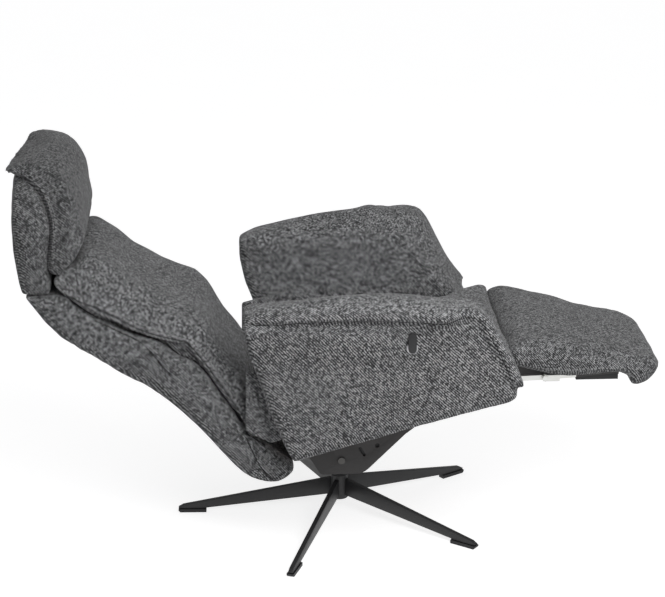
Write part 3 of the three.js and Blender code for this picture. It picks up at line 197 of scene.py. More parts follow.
# The seat's front: its rise and its reach
NOSE_RISE = 0.011
NOSE_RISE_X = (0.20, 0.33)
NOSE_RISE_Z = (0.43, 0.46)
NOSE_REACH = 0.011
NOSE_REACH_X = (0.25, 0.345)
NOSE_REACH_Z = (0.31, 0.40)

# The back cushion: its crowned middle, its upper end and its tucked-in sides
CROWN = 0.019
CROWN_ABOVE_EDGE = (0.002, 0.020)
CROWN_ACROSS = (BACK_EDGE_HALF, 0.180)
CROWN_ALONG = (0.0, 0.06)
REACH = 0.026
REACH_LOW = 0.032
REACH_LOW_OUT = (0.0, -0.045)
REACH_ALONG = (0.36, 0.46)
TUCK = 0.020
TUCK_UNDER_EDGE = (0.008, 0.020)
TUCK_ACROSS = (BACK_EDGE_HALF - 0.035, BACK_EDGE_HALF - 0.012)
TUCK_END_ALONG = (0.34, 0.42)

# The head shell's lower end
HEAD_SHELL_DROP = 0.0035
HEAD_SHELL_DROP_Z = (0.64, 0.61)

# The head pad's lower front: the line that it stays behind, and its flatter middle and foot
HEAD_FRONT = (-0.596, 0.627)
HEAD_FRONT_SLOPE = 0.68
HEAD_FRONT_SHARE = 0.85
HEAD_FRONT_Z = (0.79, 0.74)
HEAD_FLAT = 0.007
HEAD_FLAT_MIDDLE = 0.745
HEAD_FLAT_WIDTH = 0.050
HEAD_FLAT_X = (-0.60, -0.555)
HEAD_FOOT_BACK = 0.006
HEAD_FOOT_RISE = 0.011
HEAD_FOOT_Z = (0.68, 0.63)

# The head pad's top: its fall, the tip of the wrap, which slants across, and the gathers
HEAD_TOP = (-0.612, 0.880)
HEAD_TOP_ROUND = 0.02
HEAD_TOP_SLOPE = 0.45
HEAD_TIP = 0.013
HEAD_TIP_SLANT = 0.030
HEAD_TIP_X = (-0.62, -0.68)
HEAD_TIP_Y = (-0.17, 0.19)
HEAD_TIP_Z = (0.80, 0.84)
GATHERS = 0.0032
GATHERS_SCALE = 62
GATHERS_X = (-0.62, -0.67)
GATHERS_Z = (0.82, 0.86)

# The arms' fronts: how much they are squared, and how much more the far one is set back
ARM_SQUARED = 0.25
ARM_SQUARED_X = (0.02, 0.22)
ARM_FAR_BACK = 0.064
ARM_FAR_BACK_Z = (0.32, 0.50)
FAR_SIDE_Y = (0, 0.2)

# The arms' tops: the arch of the outer half, the inner half, and the lean at the rear
ARM_ARCH = 0.020
ARM_ARCH_FALL = 0.62
ARM_ARCH_LEAST = -0.006
ARM_REAR_DROP = 0.010
ARM_REAR_DROP_X = (-0.16, -0.21)
ARM_FAR_RISE = 0.010
ARM_FAR_RISE_X = (0.04, 0.15)
ARM_INNER_DROP = 0.003
ARM_INNER_SLOPE = 0.05
ARM_INNER_FALL = 0.18
ARM_OUTER_HALF_Y = (0.240, 0.310)
ARM_TOP_Z = (0.50, 0.57)
ARM_LEAN = 0.010
ARM_LEAN_X = (-0.12, -0.20)
ARM_LEAN_Z = (0.42, 0.54)

# The arms' outer faces: the hollow under the top band, and the swell of the band
ARM_FACE_DEPTH = (0.022, 0.042)
ARM_HOLLOW = 0.015
ARM_HOLLOW_START = (0.004, 0.022)
ARM_HOLLOW_STOP = (0.030, 0.12)
ARM_HOLLOW_STOP_X = (0.06, 0.15)
ARM_SWELL = 0.007
ARM_SWELL_START = (0.002, -0.014)
ARM_SWELL_STOP = (-0.024, -0.052)
ARM_SWELL_STOP_X = (0.19, 0.25)

# The leg rest: its upper face near the seat, its length at both ends and its folded end
LEG_UPPER_OUT = (0.0, 0.03)
LEG_FULL = 0.010
LEG_FULL_STOP = (0.12, 0.22)
LEG_START_DROP = 0.015
LEG_START_DROP_STOP = (-0.005, 0.045)
LEG_LONGER = 0.010
LEG_LONGER_ALONG = (0.20, 0.34)
LEG_NEARER = 0.010
LEG_NEARER_ALONG = (0.07, 0.02)
LEG_FOLD = 0.016
LEG_FOLD_ALONG = (0.276, 0.294)
LEG_FOLD_OUT = (0.02, 0.0)


# Shader maths

# What the wave node multiplies its coordinates by
WAVE_FACTOR = 10


class Wire:
    """A shader socket. Sums and products of wires add their Math nodes."""

    def __init__(self, shader, socket):
        self.shader = shader
        self.socket = socket

    def math(self, operation, *others):
        """This wire and the others through one Math node."""
        values = dict(enumerate((self, *others)))
        return self.shader.add("ShaderNodeMath", {"operation": operation}, values)

    def __add__(self, other):
        return self.math("ADD", other)

    __radd__ = __add__

    def __mul__(self, other):
        return self.math("MULTIPLY", other)

    __rmul__ = __mul__

    def __sub__(self, other):
        return self.math("SUBTRACT", other)

    def __rsub__(self, other):
        return (self * -1) + other

    def __truediv__(self, other):
        return self.math("DIVIDE", other)

    def __pow__(self, other):
        return self.math("POWER", other)

    def clamp(self):
        """This wire held between 0 and 1."""
        return self.math("MAXIMUM", 0).math("MINIMUM", 1)

    def step(self, low, high):
        """0 below low, 1 above high, and smooth between them."""
        ranges = {"Value": self, "From Min": low, "From Max": high}
        return self.shader.add("ShaderNodeMapRange", {"interpolation_type": "SMOOTHSTEP"}, ranges)


class Shader:
    """The nodes of a material or a world, made through a single method that adds a node."""

    def __init__(self, owner):
        self.owner = owner
        owner.use_nodes = True
        self.tree = owner.node_tree
        self.tree.nodes.clear()

    def add(self, kind, settings=None, inputs=None, output=0):
        """Adds a node, sets it, feeds its sockets and returns one of its outputs."""
        node = self.tree.nodes.new(kind)
        for name, value in (settings or {}).items():
            if name == "stops":
                self.fill_ramp(node.color_ramp, value)
            else:
                setattr(node, name, value)
        for name, value in (inputs or {}).items():
            if isinstance(value, Wire):
                self.tree.links.new(value.socket, node.inputs[name])
            else:
                node.inputs[name].default_value = value
        return Wire(self, node.outputs[output]) if node.outputs else None

    def fill_ramp(self, ramp, stops):
        """Gives a colour ramp its stops."""
        while len(ramp.elements) < len(stops):
            ramp.elements.new(1)
        for element, (place, colour) in zip(ramp.elements, stops):
            element.position = place
            element.color = (*colour, 1)

    def place(self):
        """The object's own coordinates, in metres."""
        return self.add("ShaderNodeTexCoord", output="Object")

    def noise(self, where, scale, detail=2, roughness=0.5):
        """Cloudy noise with this many grains to the metre."""
        sizes = {"Vector": where, "Scale": scale, "Detail": detail, "Roughness": roughness}
        return self.add("ShaderNodeTexNoise", inputs=sizes)

    def cells(self, where, scale):
        """A chance value for each cell, with this many cells to the metre."""
        grid = {"Vector": where, "Scale": scale}
        cell = self.add("ShaderNodeTexVoronoi", inputs=grid, output="Color")
        return self.add("ShaderNodeSeparateColor", inputs={"Color": cell})

    def wave(self, where, spacing):
        """Even diagonal bands, this far apart along the sum of X, Y and Z."""
        settings = {"wave_type": "BANDS", "bands_direction": "DIAGONAL", "wave_profile": "SIN"}
        scale = 2 * math.pi / (WAVE_FACTOR * spacing)
        return self.add("ShaderNodeTexWave", settings, {"Vector": where, "Scale": scale})

    def scaled(self, where, factors):
        """Coordinates with each axis multiplied by its own factor."""
        return self.add("ShaderNodeVectorMath", {"operation": "MULTIPLY"}, {0: where, 1: factors})

    def shifted(self, where, amount, most):
        """Coordinates moved along all axes by up to this distance."""
        moves = {"Scale": most, 0: self.evenly(amount)}
        move = self.add("ShaderNodeVectorMath", {"operation": "SCALE"}, moves)
        return self.add("ShaderNodeVectorMath", {"operation": "ADD"}, {0: where, 1: move})

    def evenly(self, value):
        """The same value on all three axes."""
        return self.add("ShaderNodeCombineXYZ", inputs={"X": value, "Y": value, "Z": value})

    def mix(self, share, first, second):
        """From the first colour to the second."""
        wires = {"Factor": share, 6: first, 7: second}
        return self.add("ShaderNodeMix", {"data_type": "RGBA"}, wires, output=2)

    def bump(self, height, distance, strength=1):
        """A normal that follows this height."""
        wires = {"Height": height, "Distance": distance, "Strength": strength}
        return self.add("ShaderNodeBump", inputs=wires)

    def surface(self, inputs):
        """The material's Principled surface, and the material."""
        shade = self.add("ShaderNodeBsdfPrincipled", inputs=inputs)
        self.add("ShaderNodeOutputMaterial", inputs={"Surface": shade})
        return self.owner


def rgba(colour):
    """A colour with full opacity."""
    return (*colour, 1)


def tinted(colour, share):
    """A colour made lighter or darker by a share."""
    return rgba([channel * share for channel in colour])


def tweed(name, cloth, painted_shade_share=1):
    """Wool mix tweed: diagonal wales of dark and light yarns with paler flecks. A share below 1
    darkens the yarn colours, giving a piece's copy of the cloth painted shade.
    """
    shader = Shader(bpy.data.materials.new(name))
    place = shader.place()
    sway = shader.noise(place, scale=45, detail=1)
    bent = shader.shifted(place, sway, most=cloth.wale * 0.4)
    wale = shader.wave(bent, cloth.wale * math.sqrt(2))
    dashes = shader.cells(shader.scaled(bent, (1, 1, 0.62)), 1 / cloth.fleck)
    yarn = shader.cells(shader.scaled(place, (0.7, 1, 1)), 0.8 / cloth.fleck)
    speck = shader.noise(place, scale=0.7 / cloth.fleck, roughness=0.7)
    drift = shader.noise(place, scale=16, detail=3)
    weave = wale * 0.38 + dashes * 0.42 + yarn * 0.20
    tone = weave * cloth.contrast + speck * 0.7 + drift * 0.16 - cloth.contrast / 2 + 0.01
    yarns = ((0.10, cloth.dark_yarn), (0.50, cloth.mid_yarn), (0.95, cloth.pale_yarn))
    # Painted shade: the yarn colours are darkened by the piece's share
    stops = [(at, [channel * painted_shade_share for channel in shade]) for at, shade in yarns]
    colour = shader.add("ShaderNodeValToRGB", {"stops": stops}, {"Fac": tone})
    height = weave * 0.8 + speck * 0.4
    return shader.surface(
        {
            "Base Color": colour,
            "Roughness": 0.95 - speck * 0.08,
            "Sheen Weight": 0.12,
            "Sheen Roughness": 0.5,
            "Normal": shader.bump(height, distance=0.0005, strength=0.45),
        }
    )


def seam_shadow_cloth(name, cloth):
    """The dark cloth of the cord laid in a seam, crease or fold: painted shade for the groove."""
    shader = Shader(bpy.data.materials.new(name))
    weave = shader.noise(shader.place(), 1 / cloth.fleck)
    # Painted shade: the cord's dark colour stands in for the shadow in the groove
    tone = shader.mix(weave, tinted(cloth.dark_yarn, 0.3), tinted(cloth.dark_yarn, 0.9))
    return shader.surface({"Base Color": tone, "Roughness": 0.97})


def thread(name, cloth):
    """Twisted sewing thread."""
    shader = Shader(bpy.data.materials.new(name))
    twist = shader.wave(shader.place(), cloth.wale * 0.4)
    colour = shader.mix(twist, tinted(cloth.pale_yarn, 0.55), tinted(cloth.pale_yarn, 1.05))
    return shader.surface({"Base Color": colour, "Roughness": 0.55 + twist * 0.1})


def powder_coat(name, colour, roughness=0.42):
    """Powder coat: fine orange peel, with thin wear and dust."""
    shader = Shader(bpy.data.materials.new(name))
    place = shader.place()
    peel = shader.noise(place, scale=1400)
    dust = shader.noise(place, scale=26, detail=4, roughness=0.6)
    drawn = shader.scaled(place, (1, 1, 9))
    scuff = shader.noise(drawn, scale=55, detail=3).step(0.66, 0.78)
    tone = shader.mix(dust, tinted(colour, 0.75), tinted(colour, 1.4))
    worn = shader.mix(scuff * 0.35, tone, tinted(colour, 3.2))
    return shader.surface(
        {
            "Base Color": worn,
            "Roughness": roughness + dust * 0.16 + scuff * 0.1,
            "Specular IOR Level": 0.5,
            "Normal": shader.bump(peel, distance=0.00018, strength=0.5),
        }
    )


def plated(name, colour, roughness, grain):
    """Plated steel: drawn streaks and clouding in the plating."""
    shader = Shader(bpy.data.materials.new(name))
    place = shader.place()
    drawn = shader.scaled(place, (grain, 3, 3))
    streak = shader.noise(drawn, scale=160, detail=3, roughness=0.6)
    cloud = shader.noise(place, scale=45, detail=3)
    tone = shader.mix(cloud, tinted(colour, 0.78), tinted(colour, 1.08))
    return shader.surface(
        {
            "Base Color": tone,
            "Metallic": 1,
            "Roughness": roughness + streak * 0.12 + cloud * 0.08,
            "Normal": shader.bump(streak, distance=0.00012, strength=0.4),
        }
    )


def moulded(name, colour, roughness=0.5):
    """Moulded plastic with a fine leather grain."""
    shader = Shader(bpy.data.materials.new(name))
    place = shader.place()
    edges = {"feature": "DISTANCE_TO_EDGE"}
    grain = shader.add("ShaderNodeTexVoronoi", edges, {"Vector": place, "Scale": 900})
    cloud = shader.noise(place, scale=60)
    tone = shader.mix(cloud, tinted(colour, 0.8), tinted(colour, 1.25))
    return shader.surface(
        {
            "Base Color": tone,
            "Roughness": roughness + cloud * 0.12,
            "Normal": shader.bump(grain, distance=0.0002, strength=0.35),
        }
    )


def veneer(name, colour):
    """Beech plywood: long grain and pores."""
    shader = Shader(bpy.data.materials.new(name))
    place = shader.place()
    long_grain = shader.scaled(place, (6, 90, 90))
    long_pores = shader.scaled(place, (40, 900, 900))
    grain = shader.noise(long_grain, scale=2.2, detail=5, roughness=0.65)
    pores = shader.noise(long_pores, scale=1.4).step(0.60, 0.72)
    tone = shader.mix(grain, tinted(colour, 0.6), tinted(colour, 1.25))
    pored = shader.mix(pores * 0.5, tone, tinted(colour, 0.35))
    return shader.surface(
        {
            "Base Color": pored,
            "Roughness": 0.5 + grain * 0.2,
            "Normal": shader.bump(grain, distance=0.0003, strength=0.4),
        }
    )


def pale_floor(name, stage):
    """A matt floor that is seen as white, also in gloss and through glass, with its shadow."""
    shader = Shader(bpy.data.materials.new(name))
    scuffs = shader.noise(shader.place(), scale=3, detail=3)
    tone = shader.mix(scuffs, tinted(stage.floor_colour, 0.98), tinted(stage.floor_colour, 1.02))
    matt = shader.add("ShaderNodeBsdfDiffuse", inputs={"Color": tone})
    lift = shader.add("ShaderNodeEmission", inputs={"Color": WHITE, "Strength": stage.floor_lift})
    both = shader.add("ShaderNodeAddShader", inputs={0: matt, 1: lift})
    seen = shader.add("ShaderNodeLightPath", output="Is Camera Ray")
    gloss = shader.add("ShaderNodeLightPath", output="Is Glossy Ray")
    through = shader.add("ShaderNodeLightPath", output="Is Transmission Ray")
    share = seen.math("MAXIMUM", gloss).math("MAXIMUM", through)
    shown = shader.add("ShaderNodeMixShader", inputs={0: share, 1: matt, 2: both})
    shader.add("ShaderNodeOutputMaterial", inputs={"Surface": shown})
    return shader.owner


# Meshes


def linked(name, mesh):
    """A new object with this mesh, in the scene."""
    piece = bpy.data.objects.new(name, mesh)
    bpy.context.scene.collection.objects.link(piece)
    return piece


def made(name, mesh_work):
    """A new object from a bmesh."""
    mesh = bpy.data.meshes.new(name)
    bmesh.ops.recalc_face_normals(mesh_work, faces=mesh_work.faces)
    mesh_work.to_mesh(mesh)
    mesh_work.free()
    return linked(name, mesh)


def merged_copy(nodes):
    """A bmesh of these nodes' solids, with their shared corners merged."""
    work = bmesh.new()
    for node in nodes:
        work.from_mesh(frame["nodes"][node].data)
    bmesh.ops.remove_doubles(work, verts=work.verts, dist=MERGE_WITHIN)
    return work


def keep_modifiers(piece):
    """Turns what the modifiers show into the mesh itself."""
    graph = bpy.context.evaluated_depsgraph_get()
    shown = bpy.data.meshes.new_from_object(piece.evaluated_get(graph))
    piece.modifiers.clear()
    piece.data = shown


def smooth(piece, on=True):
    """Shades the faces round or flat."""
    for face in piece.data.polygons:
        face.use_smooth = on


def relax(piece, times, share=0.5):
    """Evens out a closed mesh."""
    work = bmesh.new()
    work.from_mesh(piece.data)
    for _ in range(times):
        bmesh.ops.smooth_vert(
            work, verts=work.verts, factor=share, use_axis_x=True, use_axis_y=True, use_axis_z=True
        )
    work.to_mesh(piece.data)
    work.free()


def quilted(name, nodes, cloth, voxel=None, swell=0.0, evened=6):
    """The nodes' solids as one closed mesh of even faces, without their facets."""
    piece = made(name, merged_copy(nodes))
    if swell:
        thicker = piece.modifiers.new("Swell", "DISPLACE")
        thicker.strength = swell
        thicker.mid_level = 0
    mesher = piece.modifiers.new("Even faces", "REMESH")
    mesher.mode = "VOXEL"
    mesher.voxel_size = voxel or cloth.mesh_size
    keep_modifiers(piece)
    relax(piece, evened)
    return piece


def inflate(piece, pressure, most, stiffness=15, bending=0.5):
    """Fills a closed mesh like a stuffed cover. No point moves further than most."""
    scene = bpy.context.scene
    rest = [vertex.co.copy() for vertex in piece.data.vertices]
    cover = piece.modifiers.new("Cloth", "CLOTH")
    settings = cover.settings
    settings.quality = SIM_QUALITY
    settings.mass = CLOTH_MASS
    settings.tension_stiffness = stiffness
    settings.compression_stiffness = stiffness
    settings.shear_stiffness = stiffness / SHEAR_PART
    settings.bending_stiffness = bending
    settings.use_pressure = True
    settings.uniform_pressure_force = pressure
    settings.effector_weights.gravity = 0
    cover.point_cache.frame_start = 1
    cover.point_cache.frame_end = SIM_FRAMES
    for step in range(1, SIM_FRAMES + 1):
        scene.frame_set(step)
    graph = bpy.context.evaluated_depsgraph_get()
    filled = piece.evaluated_get(graph).data
    moved = [vertex.co.copy() for vertex in filled.vertices]
    piece.modifiers.clear()
    scene.frame_set(1)
    for vertex, start, end in zip(piece.data.vertices, rest, moved):
        shift = end - start
        if shift.length > most:
            shift *= most / shift.length
        vertex.co = start + shift
    piece.data.update()


def finer(piece, levels=1):
    """Subdivides a soft piece."""
    divide = piece.modifiers.new("Finer", "SUBSURF")
    divide.levels = levels
    divide.render_levels = levels
    keep_modifiers(piece)
    smooth(piece)


def push_out(piece, by):
    """Moves each point along its normal by a distance worked out from its place."""
    vertices = piece.data.vertices
    places = [vertex.co.copy() for vertex in vertices]
    normals = [vertex.normal.copy() for vertex in vertices]
    moved = [place + normal * by(place) for place, normal in zip(places, normals)]
    vertices.foreach_set("co", [number for place in moved for number in place])
    piece.data.update()


def rumple(piece, height, scale):
    """Gives a cover the soft unevenness of fabric over foam."""
    push_out(piece, lambda place: height * noise.noise(place * scale))


def reshape(piece, by):
    """Moves each point by a distance along each axis, worked out from its place."""
    vertices = piece.data.vertices
    places = [vertex.co.copy() for vertex in vertices]
    moved = [place + Vector(by(place)) for place in places]
    vertices.foreach_set("co", [number for place in moved for number in place])
    piece.data.update()


def blend(value, start, full):
    """0 where a change starts, 1 where it is full, and smooth between them."""
    share = min(max((value - start) / (full - start), 0), 1)
    return share * share * (3 - 2 * share)


def height_at(points, place):
    """The height of an outline of (place, height) points there."""
    points = sorted(points)
    if place <= points[0][0]:
        return points[0][1]
    for (start, low), (end, high) in zip(points, points[1:]):
        if place <= end:
            return low + (high - low) * (place - start) / (end - start)
    return points[-1][1]


def surface_of(piece):
    """What finds the nearest point of a piece's surface."""
    graph = bpy.context.evaluated_depsgraph_get()
    return BVHTree.FromObject(piece, graph)


def curve_through(points, step):
    """Even steps along a smooth line through these points."""
    line = []
    last = len(points) - 1
    for at in range(last):
        before = points[max(at - 1, 0)]
        start, end = points[at], points[at + 1]
        after = points[min(at + 2, last)]
        pieces = max(2, round((end - start).length / step))
        for count in range(pieces):
            t = count / pieces
            tangent_in = (end - before) / 2
            tangent_out = (after - start) / 2
            line.append(
                start * (2 * t**3 - 3 * t**2 + 1)
                + tangent_in * (t**3 - 2 * t**2 + t)
                + end * (3 * t**2 - 2 * t**3)
                + tangent_out * (t**3 - t**2)
            )
    line.append(points[last].copy())
    return even(line, step)


def even(line, step):
    """The same line with points at even steps."""
    spaced = [line[0]]
    left = step
    for start, end in zip(line, line[1:]):
        span = (end - start).length
        gone = 0.0
        while span - gone >= left:
            gone += left
            spaced.append(start.lerp(end, gone / span))
            left = step
        left -= span - gone
    return spaced


def laid_on(line, piece):
    """Points of the piece's surface nearest to the line, with their normals."""
    surface = surface_of(piece)
    found = [surface.find_nearest(point) for point in line]
    return [(hit[0], hit[1]) for hit in found]


def sink(piece, line, depth, width):
    """Draws a cover in along a seam."""
    lookup = BVHTree.FromPolygons(
        [point for start, end in zip(line, line[1:]) for point in (start, end, end)],
        [(3 * at, 3 * at + 1, 3 * at + 2) for at in range(len(line) - 1)],
    )

    def drawn(place):
        hit = lookup.find_nearest(place, width * SEAM_REACH)
        return 0 if hit[0] is None else -depth * math.exp(-((hit[3] / width) ** 2))

    push_out(piece, drawn)


def on_body(piece, material, body):
    """Finishes a small sewn piece and puts it on its body."""
    smooth(piece)
    piece.data.materials.append(material)
    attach(piece, body)
    return piece


def stitches(name, lines, cloth, body, material):
    """Rows of short thread stitches on laid lines of points and normals."""
    work = bmesh.new()
    for line in lines:
        for (start, up), (end, _) in list(zip(line, line[1:]))[::2]:
            along = end - start
            turn = along.to_track_quat("Z", "Y").to_matrix().to_4x4()
            middle = (start + end) / 2 + up * cloth.thread * STITCH_RISE
            thick, long = cloth.thread / 2, along.length * STITCH_SHARE
            shape = Matrix.Diagonal((thick, thick, long, 1))
            placed = Matrix.Translation(middle) @ turn @ shape
            bmesh.ops.create_uvsphere(work, u_segments=6, v_segments=4, radius=1, matrix=placed)
    return on_body(made(name, work), material, body)


def cord(work, line, radius, sides=6):
    """A round cord along a laid line of points and normals."""
    rings = []
    for at, (point, up) in enumerate(line):
        before = line[max(at - 1, 0)][0]
        after = line[min(at + 1, len(line) - 1)][0]
        side = (after - before).normalized().cross(up).normalized()
        turns = [2 * math.pi * step / sides for step in range(sides)]
        around = [point + (side * math.cos(t) + up * math.sin(t)) * radius for t in turns]
        rings.append([work.verts.new(place) for place in around])
    for ring, beyond in zip(rings, rings[1:]):
        for step in range(sides):
            after = (step + 1) % sides
            work.faces.new((ring[step], ring[after], beyond[after], beyond[step]))
    for end in (rings[0], rings[-1]):
        work.faces.new(end)


def seams(name, piece, lines, cloth, body, depth=0.003, rise=-0.3):
    """Draws a cover in along seams and lays a dark cord in each, painted shade for the groove."""
    work = bmesh.new()
    for line in lines:
        sink(piece, line, depth, cloth.seam_width)
    for line in lines:
        laid = [(point + up * cloth.thread * rise, up) for point, up in laid_on(line, piece)]
        # The dark cord is painted shade along the groove
        cord(work, laid, cloth.thread * SEAM_SHADE_ROUND)
    return on_body(made(name, work), seam_shadow_cloth(name, cloth), body)


def offset_line(line, distance):
    """A laid line moved sideways over its surface."""
    moved = []
    for at, (point, up) in enumerate(line):
        before = line[max(at - 1, 0)][0]
        after = line[min(at + 1, len(line) - 1)][0]
        side = (after - before).cross(up).normalized()
        moved.append((point + side * distance, up))
    return moved


def upholstered(piece, body, nodes, material):
    """Finishes a padded piece and puts it on its body."""
    smooth(piece)
    piece.data.materials.clear()
    piece.data.materials.append(material)
    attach(piece, body)
    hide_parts(*nodes)
    return piece


def hard_edges(name, node, width, segments=2, angle=40):
    """A copy of a metal node whose edges are eased."""
    work = merged_copy([node])
    flat = math.radians(FLAT_WITHIN)
    bmesh.ops.dissolve_limit(work, angle_limit=flat, verts=work.verts, edges=work.edges)
    least = math.radians(angle)
    closed = [edge for edge in work.edges if len(edge.link_faces) == 2]
    bmesh.ops.bevel(
        work,
        geom=[edge for edge in closed if edge.calc_face_angle(0) > least],
        offset=width,
        segments=segments,
        profile=0.5,
        affect="EDGES",
        clamp_overlap=True,
        material=-1,
    )
    bmesh.ops.remove_doubles(work, verts=work.verts, dist=MERGE_WITHIN)
    piece = made(name, work)
    smooth_by_angle(piece, CRISP_METAL)
    return piece


def smooth_by_angle(piece, degrees):
    """Shades round, with edges sharper than this kept crisp."""
    smooth(piece)
    work = bmesh.new()
    work.from_mesh(piece.data)
    limit = math.radians(degrees)
    for edge in work.edges:
        edge.smooth = len(edge.link_faces) == 2 and edge.calc_face_angle(0) < limit
    work.to_mesh(piece.data)
    work.free()


def paint(node, material):
    """Gives a node of the frame its finish."""
    slots = frame["nodes"][node].data.materials
    slots.clear()
    slots.append(material)


# What a user would change


class ReclinerCloth(bpy.types.PropertyGroup):
    """The fabric and how it is filled."""

    mesh_size: FloatProperty(
        name="Mesh size", description="Face size of the covers", default=0.006, unit="LENGTH"
    )
    wale: FloatProperty(
        name="Wale", description="Spacing of the diagonal wales", default=0.0042, unit="LENGTH"
    )
    fleck: FloatProperty(
        name="Fleck", description="Length of the flecks", default=0.0025, unit="LENGTH"
    )
    contrast: FloatProperty(name="Contrast", description="Light against dark yarns", default=1.65)
    seam_width: FloatProperty(
        name="Seam width", description="Half width of a seam", default=0.0045, unit="LENGTH"
    )
    thread: FloatProperty(
        name="Thread", description="Thickness of the stitching", default=0.0014, unit="LENGTH"
    )
    stitch: FloatProperty(
        name="Stitch", description="Length of a stitch", default=0.0042, unit="LENGTH"
    )
    dark_yarn: FloatVectorProperty(
        name="Dark yarn", description="Darkest yarn", subtype="COLOR",
        default=(0.010, 0.010, 0.011),
    )
    mid_yarn: FloatVectorProperty(
        name="Mid yarn", description="Ground yarn", subtype="COLOR", default=(0.105, 0.106, 0.110)
    )
    pale_yarn: FloatVectorProperty(
        name="Pale yarn", description="Palest fleck", subtype="COLOR", default=(0.48, 0.485, 0.49)
    )


class ReclinerMetal(bpy.types.PropertyGroup):
    """The colours of the hard pieces."""

    coat: FloatVectorProperty(
        name="Powder coat", description="Star base", subtype="COLOR", default=(0.022, 0.022, 0.023)
    )
    bracket: FloatVectorProperty(
        name="Bracket", description="Tilt bracket", subtype="COLOR", default=(0.040, 0.038, 0.038)
    )
    zinc: FloatVectorProperty(
        name="Zinc", description="Leg rest links", subtype="COLOR", default=(0.66, 0.66, 0.64)
    )
    bolt: FloatVectorProperty(
        name="Bolts", description="Blackened bolts", subtype="COLOR", default=(0.09, 0.088, 0.085)
    )
    chrome: FloatVectorProperty(
        name="Chrome", description="Gas spring rod", subtype="COLOR", default=(0.75, 0.76, 0.77)
    )
    rosette: FloatVectorProperty(
        name="Rosette", description="Lever rosette", subtype="COLOR", default=(0.42, 0.42, 0.43)
    )
    plastic: FloatVectorProperty(
        name="Plastic", description="Glides and lever", subtype="COLOR",
        default=(0.008, 0.008, 0.009),
    )
    wood: FloatVectorProperty(
        name="Plywood", description="Seat board", subtype="COLOR", default=(0.42, 0.27, 0.14)
    )
    eased: FloatProperty(
        name="Eased edge", description="Edge round of the steel", default=0.0008, unit="LENGTH"
    )


class ReclinerStage(bpy.types.PropertyGroup):
    """The floor and the lights."""

    floor_colour: FloatVectorProperty(
        name="Floor", description="Floor colour", subtype="COLOR", default=(0.55, 0.55, 0.555)
    )
    floor_lift: FloatProperty(
        name="Floor lift", description="White added where the floor is seen", default=0.768
    )
    floor_size: FloatProperty(
        name="Floor size", description="Side of the floor", default=60, unit="LENGTH"
    )
    sky: FloatProperty(
        name="Sky", description="Strength of the soft light all round", default=0.46
    )
    key: FloatProperty(name="Key", description="Power of the lamp, in watts", default=25)
    key_turn: FloatProperty(name="Key turn", description="Where the lamp stands", default=14)
    key_height: FloatProperty(
        name="Key height", description="How high the lamp stands", default=36
    )
    key_size: FloatProperty(
        name="Key size", description="Side of the lamp", default=1.2, unit="LENGTH"
    )
    key_distance: FloatProperty(
        name="Key distance", description="How far it stands", default=2.0, unit="LENGTH"
    )
    key_aim: FloatVectorProperty(
        name="Key aim", description="What the lamp points at", default=(0.10, 0, 0.45)
    )


def cloth_of(context):
    """The fabric's settings."""
    return context.scene.recliner_cloth


def metal_of(context):
    """The hard pieces' settings."""
    return context.scene.recliner_metal


# Operators


class RECLINER_OT_stage(bpy.types.Operator):
    """Makes the floor, the lights and the camera."""

    bl_idname = "recliner.stage"
    bl_label = "Stage"

    def execute(self, context):
        stage = context.scene.recliner_stage
        context.scene.view_settings.view_transform = "Standard"
        self.make_floor(stage)
        self.make_sky(context, stage)
        self.make_key(context, stage)
        self.make_camera(context)
        return {"FINISHED"}

    def make_floor(self, stage):
        """The white floor."""
        work = bmesh.new()
        bmesh.ops.create_grid(work, x_segments=8, y_segments=8, size=stage.floor_size / 2)
        floor = made("floor", work)
        floor.data.materials.append(pale_floor("pale_floor", stage))

    def make_sky(self, context, stage):
        """Soft light all round, and white where the camera sees past the floor."""
        world = bpy.data.worlds.new("studio")
        context.scene.world = world
        shader = Shader(world)
        around = shader.add("ShaderNodeTexCoord", output="Generated")
        height = shader.add("ShaderNodeSeparateXYZ", inputs={"Vector": around}, output="Z")
        tone = shader.add("ShaderNodeValToRGB", {"stops": SKY_STOPS}, {"Fac": height})
        soft = shader.add("ShaderNodeBackground", inputs={"Color": tone, "Strength": stage.sky})
        white = shader.add("ShaderNodeBackground", inputs={"Color": WHITE})
        seen = shader.add("ShaderNodeLightPath", output="Is Camera Ray")
        through = shader.add("ShaderNodeLightPath", output="Is Transmission Ray")
        either = seen.math("MAXIMUM", through)
        shown = shader.add("ShaderNodeMixShader", inputs={0: either, 1: soft, 2: white})
        shader.add("ShaderNodeOutputWorld", inputs={"Surface": shown})

    def make_key(self, context, stage):
        """The one lamp, which throws the shadows."""
        panel = bpy.data.lights.new("key", "AREA")
        panel.energy = stage.key
        panel.shape = "SQUARE"
        panel.size = stage.key_size
        lamp = bpy.data.objects.new("key", panel)
        context.scene.collection.objects.link(lamp)
        toward = heading(stage.key_turn, stage.key_height)
        lamp.location = Vector(stage.key_aim) + toward * stage.key_distance
        lamp.rotation_euler = toward.to_track_quat("Z", "Y").to_euler()

    def make_camera(self, context):
        """The camera that took the photograph."""
        data = bpy.data.cameras.new("camera")
        data.sensor_width = SENSOR_WIDTH
        data.lens = SENSOR_WIDTH * FOCAL_PIXELS / PHOTO_WIDTH
        data.clip_end = CAMERA_REACH
        camera = bpy.data.objects.new("camera", data)
        context.scene.collection.objects.link(camera)
        camera.location = CAMERA_PLACE
        back = heading(CAMERA_TURN, CAMERA_DROP)
        camera.rotation_euler = back.to_track_quat("Z", "Y").to_euler()
        context.scene.camera = camera


